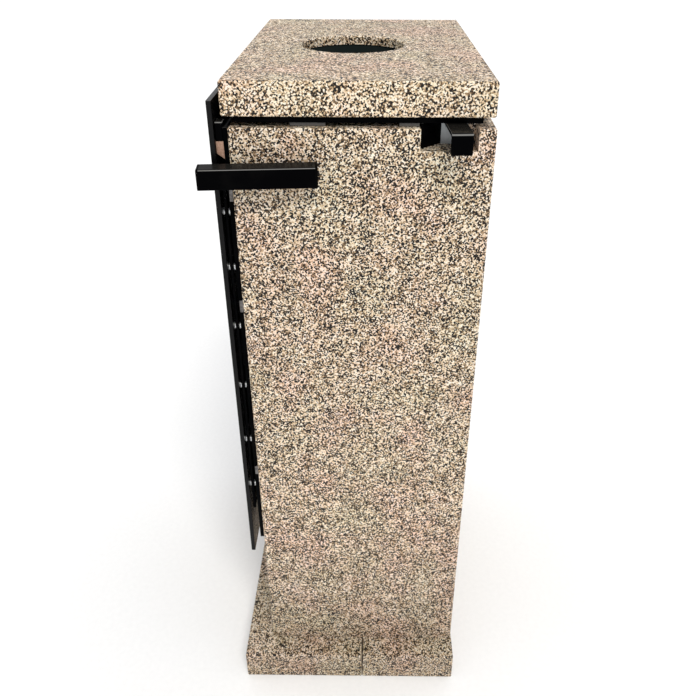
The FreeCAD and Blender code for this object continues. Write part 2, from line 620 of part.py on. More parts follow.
def make_door_hinge():
    """The continuous hinge: two leaves, the pin, plated spacers behind each leaf and the screws."""
    door_leaf, door_near, door_far = hinge_leaf(-1)
    frame_leaf, frame_near, frame_far = hinge_leaf(1)
    door_screws = hinge_screws(door_near, Vector(0, -1, 0))
    frame_screws = hinge_screws(frame_near, Y_AXIS)
    x = HINGE_X - HINGE_SCREW_SETBACK
    door_spacers = []
    frame_spacers = []
    for index, z in enumerate(HINGE_SCREW_Z):
        spacer = rod(SPACER_RADIUS, (x, DOOR_INNER_Y, z), Y_AXIS, door_far - DOOR_INNER_Y)
        door_spacers.append(spacer.cut(door_screws[index]))
        spacer = rod(SPACER_RADIUS, (x, frame_far, z), Y_AXIS, FRAME_FACE_Y - frame_far)
        frame_spacers.append(spacer.cut(frame_screws[index]))
        door_leaf = door_leaf.cut(door_screws[index])
        frame_leaf = frame_leaf.cut(frame_screws[index])
    pin = rod(HINGE_PIN_RADIUS, (HINGE_X, HINGE_Y, HINGE_BOTTOM_Z), Z_AXIS, HINGE_TOP_Z - HINGE_BOTTOM_Z)
    parts = {
        "hinge_leaf_door": door_leaf,
        "hinge_leaf_frame": frame_leaf,
        "hinge_pin": pin,
        "hinge_spacers_door": Part.makeCompound(door_spacers),
        "hinge_spacers_frame": Part.makeCompound(frame_spacers),
        "hinge_screws_door": Part.makeCompound(door_screws),
        "hinge_screws_frame": Part.makeCompound(frame_screws),
    }
    return parts, door_screws, frame_screws


def lock_axis_x():
    """The lock's place across the door."""
    return -OPENING_X + LOCK_REACH


def make_door(door_screws):
    """The door plate with its screw holes and the lock's hole."""
    door = box(-FACE_X, FACE_X, DOOR_OUTER_Y, DOOR_INNER_Y, DOOR_BOTTOM_Z, DOOR_TOP_Z)
    door = door.makeFillet(0.8, door.Edges)
    for screw in door_screws:
        door = door.cut(screw)
    hole_radius = LOCK_RADIUS + LOCK_BODY_CLEARANCE
    door = door.cut(rod(hole_radius, (lock_axis_x(), DOOR_OUTER_Y - 1, LOCK_Z), Y_AXIS, DOOR_THICKNESS + 2))
    return {"door_plate": door}


def frame_screw_places():
    """The frame's screws into the corner posts, as X and Z."""
    x = PANEL_INNER_X - POST_LEG / 2
    heights = [FRAME_BOTTOM_Z + place * FRAME_HEIGHT for place in FRAME_SCREW_PLACES]
    return [(side * x, z) for side in (-1, 1) for z in heights]


def make_front_frame(hinge_frame_screws):
    """The flat steel frame that the door closes on, with its lugs, brackets, buffers and screws."""
    edge = FACE_X - FRAME_SIDE_INSET
    frame = box(-edge, edge, FRAME_FACE_Y, -FACE_Y, FRAME_BOTTOM_Z, SLAB_TOP)
    frame = frame.cut(box(-OPENING_X, OPENING_X, FRAME_FACE_Y - 1, -FACE_Y + 1, OPENING_BOTTOM, OPENING_TOP))
    screws = []
    for x, z in frame_screw_places():
        face = (x, FRAME_FACE_Y, z)
        length = FRAME_THICKNESS + POST_WALL
        screws.append(countersunk_screw(FRAME_SCREW_RADIUS, FRAME_SCREW_HEAD_RADIUS, length, face, Y_AXIS))
    for screw in screws + hinge_frame_screws:
        frame = frame.cut(screw)
    lugs = []
    for place, height in LUG_PLACES:
        low = FRAME_BOTTOM_Z + place * FRAME_HEIGHT
        lug = box(edge, edge + LUG_PROUD, FRAME_FACE_Y + LUG_SETBACK, -FACE_Y, low, low + height)
        lugs.append(lug)
        lugs.append(mirrored_x(lug))
    brackets = []
    buffers = []
    near_x = HINGE_X + BRACKET_PAST_HINGE
    foot = SLAB_TOP - BRACKET_DROP
    bracket_y = FRAME_FACE_Y - BRACKET_PROUD
    bracket = box(near_x - BRACKET_WIDTH, near_x, bracket_y, FRAME_FACE_Y, foot, foot + BRACKET_HEIGHT)
    bracket = bracket.makeChamfer(BRACKET_EDGE, bracket.Edges)
    low = SLAB_TOP - BUFFER_DROP
    high = low + BUFFER_HEIGHT
    front = DOOR_INNER_Y + BUFFER_DOOR_GAP
    corners = [
        Vector(HINGE_X - BUFFER_WIDTH, FRAME_FACE_Y, low),
        Vector(HINGE_X - BUFFER_WIDTH, FRAME_FACE_Y, high),
        Vector(HINGE_X - BUFFER_WIDTH, front, high),
        Vector(HINGE_X - BUFFER_WIDTH, front, low + BUFFER_SLANT),
    ]
    pad = Part.Face(Part.makePolygon(corners + [corners[0]])).extrude(Vector(BUFFER_WIDTH, 0, 0))
    for solid, group in ((bracket, brackets), (pad, buffers)):
        group.append(solid)
        group.append(mirrored_x(solid))
    return {
        "front_frame": frame,
        "frame_screws": Part.makeCompound(screws),
        "frame_lugs": Part.makeCompound(lugs),
        "buffer_brackets": Part.makeCompound(brackets),
        "door_buffers": Part.makeCompound(buffers),
    }, screws


def make_lock():
    """The cam lock: body in the door, plug inside it, nut behind the door, cam and its screw."""
    x = lock_axis_x()
    cam_front = -FACE_Y + POST_WALL + CAM_GAP
    body = rod(LOCK_RADIUS, (x, DOOR_OUTER_Y, LOCK_Z), Y_AXIS, cam_front - 0.5 - DOOR_OUTER_Y)
    flange = rod(LOCK_FLANGE_RADIUS, (x, DOOR_OUTER_Y - LOCK_FLANGE, LOCK_Z), Y_AXIS, LOCK_FLANGE)
    flange = flange.makeChamfer(0.8, [e for e in flange.Edges if e.BoundBox.YMax < DOOR_OUTER_Y - 1])
    body = body.fuse(flange).removeSplitter()
    bore_start = DOOR_OUTER_Y - LOCK_FLANGE - 1
    bore = rod(PLUG_RADIUS + PLUG_CLEARANCE, (x, bore_start, LOCK_Z), Y_AXIS, cam_front - bore_start)
    body = body.cut(bore)
    plug_front = DOOR_OUTER_Y - LOCK_FLANGE + 2.0
    plug = rod(PLUG_RADIUS, (x, plug_front, LOCK_Z), Y_AXIS, cam_front - plug_front)
    points = []
    for index in range(3):
        angle = math.radians(90 + 120 * index)
        points.append(Vector(x + 3.4 * math.cos(angle), plug_front - 1.8, LOCK_Z + 3.4 * math.sin(angle)))
    drive = Part.Face(Part.makePolygon(points + [points[0]])).extrude(Vector(0, 2.8, 0))
    plug = plug.fuse(drive).removeSplitter()
    nut_blank = Part.makeCylinder(LOCK_NUT_FLATS / math.sqrt(3), LOCK_NUT, Vector(x, DOOR_INNER_Y, LOCK_Z), Y_AXIS)
    nut = nut_blank
    for index in range(6):
        flat = box(LOCK_NUT_FLATS / 2, LOCK_NUT_FLATS, -20, 20, -20, 20)
        flat.rotate(Vector(0, 0, 0), Y_AXIS, 60 * index)
        flat.translate(Vector(x, DOOR_INNER_Y, LOCK_Z))
        nut = nut.cut(flat)
    nut = nut.cut(rod(LOCK_RADIUS, (x, DOOR_INNER_Y - 1, LOCK_Z), Y_AXIS, LOCK_NUT + 2))
    half = CAM_WIDTH / 2
    cam = box(x - half, x + half, cam_front, cam_front + CAM_THICKNESS, LOCK_Z - CAM_LENGTH, LOCK_Z)
    cam = cam.fuse(rod(half, (x, cam_front, LOCK_Z), Y_AXIS, CAM_THICKNESS)).removeSplitter()
    tips = [e for e in cam.Edges if e.BoundBox.ZMax < LOCK_Z - CAM_LENGTH + 0.1 and e.BoundBox.XLength < 0.1]
    cam = cam.makeFillet(4.0, tips)
    screw_start = (x, cam_front - 8, LOCK_Z)
    shank = rod(CAM_SCREW_RADIUS / 2, screw_start, Y_AXIS, 8 + CAM_THICKNESS)
    head = rod(CAM_SCREW_RADIUS, (x, cam_front + CAM_THICKNESS, LOCK_Z), Y_AXIS, CAM_SCREW_HEAD)
    screw = shank.fuse(head).removeSplitter()
    plug = plug.cut(shank)
    cam = cam.cut(shank)
    return {"lock_body": body, "lock_plug": plug, "lock_nut": nut, "lock_cam": cam, "cam_screw": screw}


# ---- side bar ---------------------------------------------------------------------------------
def make_side_bar():
    """The square bar on the near side that stops the open door, its wedge mount, studs and caps."""
    yaw = SIDE_BAR_YAW - 90
    half = TUBE / 2
    slope = math.tan(math.radians(SIDE_BAR_YAW))
    start_x = FACE_X + SIDE_BAR_TOE + half / math.cos(math.radians(SIDE_BAR_YAW))
    length = SIDE_BAR_LENGTH - 2 * CAP_PLATE
    turn = math.radians(SIDE_BAR_YAW)
    first = (start_x + CAP_PLATE * math.sin(turn), SIDE_BAR_REAR_Y - CAP_PLATE * math.cos(turn), SIDE_BAR_Z)
    bar = placed(square_tube(length), first, yaw)
    caps = [placed(tube_cap(length, end), first, yaw) for end in (True, False)]
    wedge_rear = SIDE_BAR_REAR_Y - WEDGE_REAR_SETBACK
    wedge_front = SIDE_BAR_REAR_Y - SIDE_BAR_LENGTH + WEDGE_FRONT_SETBACK
    low = SIDE_BAR_Z - WEDGE_HEIGHT / 2
    corners = [
        Vector(FACE_X, wedge_rear, low),
        Vector(FACE_X, wedge_front, low),
        Vector(FACE_X + SIDE_BAR_TOE + (SIDE_BAR_REAR_Y - wedge_front) * slope, wedge_front, low),
        Vector(FACE_X + SIDE_BAR_TOE + (SIDE_BAR_REAR_Y - wedge_rear) * slope, wedge_rear, low),
    ]
    wedge = Part.Face(Part.makePolygon(corners + [corners[0]])).extrude(Vector(0, 0, WEDGE_HEIGHT))
    studs = []
    for y, z in stud_places():
        studs.append(rod(STUD_RADIUS, (FACE_X - STUD_DEPTH, y, z), X_AXIS, STUD_DEPTH + 2.5))
    for stud in studs:
        wedge = wedge.cut(stud)
    return {
        "side_bar": bar,
        "side_bar_caps": Part.makeCompound(caps),
        "side_bar_wedge": wedge,
        "side_bar_studs": Part.makeCompound(studs),
    }


# ---- carcass ----------------------------------------------------------------------------------
def make_carcass(frame_screws):
    """Side panels, corner posts, base rails, shelf rails, top rails and the floor tray on the shelf."""
    front_y = -FACE_Y
    back_y = FACE_Y - BACK_SLAB - FIT_GAP
    panel = box(PANEL_INNER_X, INNER_X, front_y, back_y, PLINTH_HEIGHT, SLAB_TOP - 1)
    corner = PANEL_INNER_X
    front_bottom = PLINTH_HEIGHT + FRONT_SLAB_HEIGHT
    front_length = POST_TOP_Z - front_bottom
    rear_length = POST_TOP_Z - PLINTH_HEIGHT
    posts = [
        angle_bar(-corner, front_y, front_bottom, POST_LEG, POST_WALL, front_length, 0),
        angle_bar(corner, front_y, front_bottom, POST_LEG, POST_WALL, front_length, 90),
        angle_bar(corner, back_y, PLINTH_HEIGHT, POST_LEG, POST_WALL, rear_length, 180),
        angle_bar(-corner, back_y, PLINTH_HEIGHT, POST_LEG, POST_WALL, rear_length, 270),
    ]
    for screw in frame_screws:
        posts = [post.cut(screw) for post in posts]
    base_rails = []
    shelf_rails = []
    for side in (-1, 1):
        centre = side * ANCHOR_X
        half = BASE_RAIL_WIDTH / 2
        rear_y = back_y - POST_WALL
        base_top = PLINTH_HEIGHT + RAIL_WALL
        foot = box(centre - half, centre + half, front_y + FRONT_SLAB, rear_y, PLINTH_HEIGHT, base_top)
        low_x = min(side * (ANCHOR_X + half), side * (ANCHOR_X + half - RAIL_WALL))
        web = box(low_x, low_x + RAIL_WALL, front_y + FRONT_SLAB, rear_y, PLINTH_HEIGHT, PLINTH_HEIGHT + RAIL)
        rail = foot.fuse(web).removeSplitter()
        base_rails.append(drilled_for_anchors(rail, PLINTH_HEIGHT, PLINTH_HEIGHT + RAIL))
    for side in (-1, 1):
        leg_x = min(side * corner, side * (corner - RAIL_WALL))
        shelf_x = min(side * corner, side * (corner - RAIL))
        span_y = (front_y + POST_LEG, back_y - POST_LEG)
        leg = box(leg_x, leg_x + RAIL_WALL, *span_y, FLOOR_Z - RAIL, FLOOR_Z)
        shelf = box(shelf_x, shelf_x + RAIL, *span_y, FLOOR_Z - RAIL_WALL, FLOOR_Z)
        shelf_rails.append(leg.fuse(shelf).removeSplitter())
    rail_x = PANEL_INNER_X - POST_LEG - FIT_GAP
    top_low = POST_TOP_Z - RAIL
    top_rails = [
        box(-rail_x, rail_x, back_y - RAIL_WALL, back_y, top_low, POST_TOP_Z),
        box(-rail_x, rail_x, front_y, front_y + RAIL_WALL, top_low, POST_TOP_Z),
    ]
    tray_x = PANEL_INNER_X - POST_WALL - FIT_GAP
    tray_front = front_y + POST_WALL + FIT_GAP
    tray_back = back_y - POST_WALL - FIT_GAP
    tray = box(-tray_x, tray_x, tray_front, tray_back, FLOOR_Z, FLOOR_Z + TRAY_LIP)
    tray = tray.cut(box(-tray_x + TRAY_WALL, tray_x - TRAY_WALL, tray_front - 1, tray_back - TRAY_WALL,
                        FLOOR_Z + TRAY_WALL, FLOOR_Z + TRAY_LIP + 1))
    tray = tray.cut(rod(DRAIN_RADIUS, (0, 0, FLOOR_Z - 1), Z_AXIS, TRAY_WALL + 2))
    return {
        "side_panel_near": panel,
        "side_panel_far": mirrored_x(panel),
        "corner_posts": Part.makeCompound(posts),
        "base_rails": Part.makeCompound(base_rails),
        "shelf_rails": Part.makeCompound(shelf_rails),
        "top_rails": Part.makeCompound(top_rails),
        "floor_tray": tray,
    }


# ---- liner ------------------------------------------------------------------------------------
def corner_arc(corner, towards_start, towards_end, radius):
    """A quarter arc that rounds a square corner between two unit directions."""
    start = corner + towards_start * radius
    end = corner + towards_end * radius
    middle = corner + (towards_start + towards_end) * (radius * (1 - math.sqrt(0.5)))
    return start, end, Part.Arc(start, middle, end).toShape()


def make_bail_solid(reach, half_span, end_x):
    """The bail's rod at level rest: ends on the X axis, two arms along -Y and a cross run between them."""
    plus = X_AXIS
    minus = X_AXIS * -1
    forward = Y_AXIS * -1
    back = Y_AXIS
    corners = [
        (Vector(-half_span, 0, 0), plus, forward, BAIL_END_BEND),
        (Vector(-half_span, -reach, 0), back, plus, BAIL_BEND),
        (Vector(half_span, -reach, 0), minus, back, BAIL_BEND),
        (Vector(half_span, 0, 0), forward, minus, BAIL_END_BEND),
    ]
    last = Vector(-end_x, 0, 0)
    edges = []
    for corner, towards_start, towards_end, radius in corners:
        start, end, arc = corner_arc(corner, towards_start, towards_end, radius)
        edges.append(Part.LineSegment(last, start).toShape())
        edges.append(arc)
        last = end
    edges.append(Part.LineSegment(last, Vector(end_x, 0, 0)).toShape())
    profile = Part.Wire(Part.Circle(Vector(-end_x, 0, 0), X_AXIS, BAIL_RADIUS).toShape())
    return Part.Wire(edges).makePipeShell([profile], True, False)


def make_liner():
    """The galvanised liner with a rolled rim, riveted ears, the bail, and the guides on the tray."""
    half_x = LINER_X / 2
    y0 = LINER_Y_CENTRE - LINER_Y / 2
    y1 = LINER_Y_CENTRE + LINER_Y / 2
    outer = rounded_box(-half_x, half_x, y0, y1, LINER_FLOOR, LINER_TOP, LINER_CORNER)
    rim_low = LINER_TOP - LINER_RIM_HEIGHT
    rim = rounded_box(-half_x - LINER_RIM, half_x + LINER_RIM, y0 - LINER_RIM, y1 + LINER_RIM,
                      rim_low, LINER_TOP, LINER_CORNER + LINER_RIM)
    wall = LINER_WALL
    hollow = rounded_box(-half_x + wall, half_x - wall, y0 + wall, y1 - wall,
                         LINER_FLOOR + wall, LINER_TOP + 1, LINER_CORNER - wall)
    liner = outer.fuse(rim).removeSplitter().cut(hollow)
    pivot_z = LINER_TOP - BAIL_DROP
    ears = []
    ear_outer = half_x + EAR_THICKNESS
    bore = BAIL_RADIUS + BAIL_CLEARANCE
    for side in (-1, 1):
        low_x = min(side * half_x, side * ear_outer)
        plate = box(low_x, low_x + EAR_THICKNESS, LINER_Y_CENTRE - EAR_SIZE / 2, LINER_Y_CENTRE + EAR_SIZE / 2,
                    pivot_z - EAR_SIZE / 2, pivot_z + EAR_SIZE / 2 - 4)
        plate = plate.makeFillet(6, [e for e in plate.Edges if e.BoundBox.XLength > EAR_THICKNESS / 2])
        boss = Part.makeCylinder(EAR_BOSS_RADIUS, EAR_BOSS, Vector(side * ear_outer, LINER_Y_CENTRE, pivot_z),
                                 Vector(side, 0, 0))
        ear = plate.fuse(boss).removeSplitter()
        ears.append(ear.cut(rod(bore, (side * half_x - 20, LINER_Y_CENTRE, pivot_z), X_AXIS, 40)))
    half_span = ear_outer + EAR_BOSS + BAIL_RADIUS + BAIL_ARM_GAP
    bail = make_bail_solid(BAIL_REACH, half_span, half_x + BAIL_STUB_GAP)
    folded_reach = LINER_Y / 2 + BAIL_RADIUS + BAIL_WALL_GAP
    bail.rotate(Vector(0, 0, 0), X_AXIS, math.degrees(math.acos(folded_reach / BAIL_REACH)))
    bail.translate(Vector(0, LINER_Y_CENTRE, pivot_z))
    guides = []
    for side in (-1, 1):
        inner = half_x + GUIDE_GAP
        low = min(side * inner, side * (inner + GUIDE_WALL))
        guides.append(box(low, low + GUIDE_WALL, y0, y1, LINER_FLOOR, LINER_FLOOR + GUIDE_HEIGHT))
    return {
        "liner": liner,
        "liner_ears": Part.makeCompound(ears),
        "liner_bail": bail,
        "liner_guides": Part.makeCompound(guides),
    }


def build():
    """All the sub-parts by name."""
    parts = {}
    parts.update(make_plinth())
    parts.update(make_body_stones())
    parts.update(make_lid())
    parts.update(make_lift_handle())
    parts.update(make_rest_pads())
    parts.update(make_notch_guard())
    parts.update(make_lid_hinges())
    hinge_parts, door_screws, hinge_frame_screws = make_door_hinge()
    parts.update(hinge_parts)
    parts.update(make_door(door_screws))
    frame_parts, frame_screws = make_front_frame(hinge_frame_screws)
    parts.update(frame_parts)
    parts.update(make_lock())
    parts.update(make_side_bar())
    parts.update(make_carcass(frame_screws))
    parts.update(make_liner())
    return parts


def main():
    """Build every sub-part and write it to its own STEP file."""
    os.makedirs("parts", exist_ok=True)
    for name, shape in build().items():
        solids = shape.Solids
        if not solids or not shape.isValid():
            raise ValueError(f"{name} is not a valid solid")
        shape.exportStep(f"parts/{name}.step")
        print(f"{name}: {len(solids)} solid(s), {sum(s.Volume for s in solids) / 1000:.1f} cm3")


main()
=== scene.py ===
"""The looks of the granite ashtray bin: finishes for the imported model, and its small parts modelled finer.

Everything is in metres in the model's own frame: the floor at Z = 0, the stone body centred on X = Y = 0, the
door on the -Y side, the door's hinge and the side bar on the +X side.
"""

import logging
import math
from collections.abc import Callable, Iterable, Sequence
from dataclasses import dataclass, field
from enum import Enum

import bmesh
import bpy
from mathutils import Matrix, Vector


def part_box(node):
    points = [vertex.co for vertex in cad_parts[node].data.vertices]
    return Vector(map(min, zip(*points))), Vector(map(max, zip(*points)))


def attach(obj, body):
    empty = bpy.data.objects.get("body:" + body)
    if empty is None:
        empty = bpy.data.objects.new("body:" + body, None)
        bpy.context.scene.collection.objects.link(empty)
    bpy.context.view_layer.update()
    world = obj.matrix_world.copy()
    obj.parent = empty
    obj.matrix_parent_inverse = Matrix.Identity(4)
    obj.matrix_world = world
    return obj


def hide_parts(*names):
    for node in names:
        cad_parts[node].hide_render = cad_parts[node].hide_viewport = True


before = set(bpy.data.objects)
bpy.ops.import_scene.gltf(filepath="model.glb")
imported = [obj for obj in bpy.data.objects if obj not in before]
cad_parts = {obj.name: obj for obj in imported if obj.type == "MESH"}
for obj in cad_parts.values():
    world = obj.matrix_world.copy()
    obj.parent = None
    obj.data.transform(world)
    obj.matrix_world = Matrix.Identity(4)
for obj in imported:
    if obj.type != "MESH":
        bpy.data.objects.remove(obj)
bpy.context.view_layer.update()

log = logging.getLogger("ashtray_bin")

MM = 0.001
UP = Vector((0.0, 0.0, 1.0))
IN_PLACE = (Matrix.Identity(4),)
Point = tuple[float, float, float]


# ---- node and mesh helpers --------------------------------------------------------------------
def linear(hex_colour: str) -> tuple[float, float, float, float]:
    """Turns an sRGB hex colour to linear light.

    Args:
        hex_colour: A colour such as "#c8b49a".

    Returns:
        Red, green, blue and an alpha of one.
    """
    channels = [int(hex_colour[start : start + 2], 16) / 255 for start in (1, 3, 5)]
    red, green, blue = (c / 12.92 if c <= 0.04045 else ((c + 0.055) / 1.055) ** 2.4 for c in channels)
    return red, green, blue, 1.0


def add_node(
    tree: bpy.types.NodeTree,
    kind: str,
    inputs: dict | None = None,
    stops: Sequence[tuple[float, str]] = (),
    **settings: object,
) -> bpy.types.Node:
    """Adds one node with its settings, its values and its links.

    Args:
        tree: The node tree of the material.
        kind: The node's type.
        inputs: Values or sockets, by the name or the index of the input that they go to.
        stops: Places and hex colours of a colour ramp.
        settings: Properties of the node itself.

    Returns:
        The new node.
    """
    node = tree.nodes.new(kind)
    for name, value in settings.items():
        setattr(node, name, value)
    for name, value in (inputs or {}).items():
        if isinstance(value, bpy.types.NodeSocket):
            tree.links.new(value, node.inputs[name])
        else:
            node.inputs[name].default_value = value
    if stops:
        elements = node.color_ramp.elements
        while len(elements) < len(stops):
            elements.new(1.0)
        for element, (place, colour) in zip(elements, stops):
            element.position = place
            element.color = linear(colour)
    return node


def turned_to(outward: Vector, place: Vector) -> Matrix:
    """The transform that takes a part made along +Z at the origin to a place where it points outward."""
    return Matrix.Translation(place) @ outward.to_track_quat("Z", "Y").to_matrix().to_4x4()


def edges_where(mesh: bmesh.types.BMesh, test: Callable[[Vector, Vector], bool]) -> list[bmesh.types.BMEdge]:
    """The edges whose two end points pass a test."""
    return [edge for edge in mesh.edges if test(edge.verts[0].co, edge.verts[1].co)]


def ease(mesh: bmesh.types.BMesh, edges: Iterable[bmesh.types.BMEdge], size: float, segments: int = 2) -> None:
    """Rounds edges.

    Args:
        mesh: The mesh that holds the edges.
        edges: The edges to round.
        size: How far the rounding reaches from each edge.
        segments: Number of facets across the rounding.
    """
    bmesh.ops.bevel(
        mesh,
        geom=list(edges),
        offset=size,
        offset_type="OFFSET",
        segments=segments,
        profile=0.5,
        affect="EDGES",
        material=-1,
        clamp_overlap=True,
    )


def block(low: Sequence[float], high: Sequence[float], rounding: float, segments: int = 3) -> bmesh.types.BMesh:
    """A block with rounded edges.

    Args:
        low: Its lowest corner.
        high: Its highest corner.
        rounding: Radius of its edges.
        segments: Number of facets across each edge.

    Returns:
        A new mesh.
    """
    mesh = bmesh.new()
    low, high = Vector(low), Vector(high)
    size = Matrix.Diagonal((*(high - low), 1.0))
    bmesh.ops.create_cube(mesh, size=1.0, matrix=Matrix.Translation((low + high) / 2) @ size)
    ease(mesh, mesh.edges[:], rounding, segments)
    return mesh


def turned(outline: Sequence[tuple[float, float]], closed: bool, steps: int = 40) -> bmesh.types.BMesh:
    """A part turned round the Z axis.

    Args:
        outline: Radius and height of each point of its section.
        closed: True for a ring, whose section's last point joins its first.
        steps: Number of facets round the axis.

    Returns:
        A new mesh, with its faces outwards.
    """
    mesh = bmesh.new()
    points = [mesh.verts.new((radius, 0.0, height)) for radius, height in outline]
    edges = [mesh.edges.new(pair) for pair in zip(points, points[1:])]
    if closed:
        edges.append(mesh.edges.new((points[-1], points[0])))
    bmesh.ops.spin(
        mesh,
        geom=points + edges,
        cent=(0, 0, 0),
        axis=UP,
        dvec=(0, 0, 0),
        angle=math.tau,
        steps=steps,
        use_merge=True,
    )
    bmesh.ops.remove_doubles(mesh, verts=mesh.verts, dist=1e-6)
    bmesh.ops.recalc_face_normals(mesh, faces=mesh.faces)
    return mesh


def gathered(parts: Iterable[tuple[bmesh.types.BMesh, Sequence[Matrix]]]) -> bmesh.types.BMesh:
    """Copies of several parts in one mesh.

    Args:
        parts: Each part with the transforms of its copies. The parts are used up.

    Returns:
        A new mesh.
    """
    whole = bmesh.new()
    for part, transforms in parts:
        for transform in transforms:
            copy = bpy.data.meshes.new("copy")
            part.to_mesh(copy)
            copy.transform(transform)
            whole.from_mesh(copy)
            bpy.data.meshes.remove(copy)
        part.free()
    return whole


def eased_copy(node: str, size: float, segments: int = 2, least_turn: float = 40.0) -> bmesh.types.BMesh:
    """A copy of a CAD node whose sharp edges are rounded.

    Args:
        node: The node's name.
        size: How far the rounding reaches from each edge.
        segments: Number of facets across the rounding.
        least_turn: Edges that turn by fewer degrees stay as they are.

    Returns:
        A new mesh.
    """
    mesh = bmesh.new()
    mesh.from_mesh(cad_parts[node].data)
    bmesh.ops.remove_doubles(mesh, verts=mesh.verts, dist=5e-6)
    bmesh.ops.dissolve_limit(mesh, angle_limit=math.radians(1), verts=mesh.verts, edges=mesh.edges)
    turn = math.radians(least_turn)
    ease(mesh, [e for e in mesh.edges if e.is_manifold and e.calc_face_angle(0.0) > turn], size, segments)
    return mesh


# ---- finishes ---------------------------------------------------------------------------------
@dataclass(frozen=True)
class Finish:
    """A finish on one material slot of the record. Each kind of finish says how its nodes are painted."""

    name: str
    slot: str

    def paint(self, tree: bpy.types.NodeTree, shader: bpy.types.Node, place: bpy.types.NodeSocket) -> None:
        """Adds the finish's own nodes.

        Args:
            tree: The material's node tree.
            shader: Its principled shader.
            place: The object coordinates, in metres.
        """
        raise NotImplementedError

    def material(self) -> bpy.types.Material:
        """The finish's material, made the first time that it is asked for."""
        known = bpy.data.materials.get(self.name)
        if known is not None:
            return known
        made = bpy.data.materials.new(self.name)
        made.use_nodes = True
        tree = made.node_tree
        tree.nodes.clear()
        shader = add_node(tree, "ShaderNodeBsdfPrincipled")
        add_node(tree, "ShaderNodeOutputMaterial", {"Surface": shader.outputs["BSDF"]})
        self.paint(tree, shader, add_node(tree, "ShaderNodeTexCoord").outputs["Object"])
        return made

    def put_on(self, nodes: Iterable[str]) -> None:
        """Puts the finish on CAD nodes that keep their shape."""
        for name in nodes:
            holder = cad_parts[name]
            for slot in holder.material_slots:
                slot.material = self.material()
            log.info("%s wears %s", name, self.name)


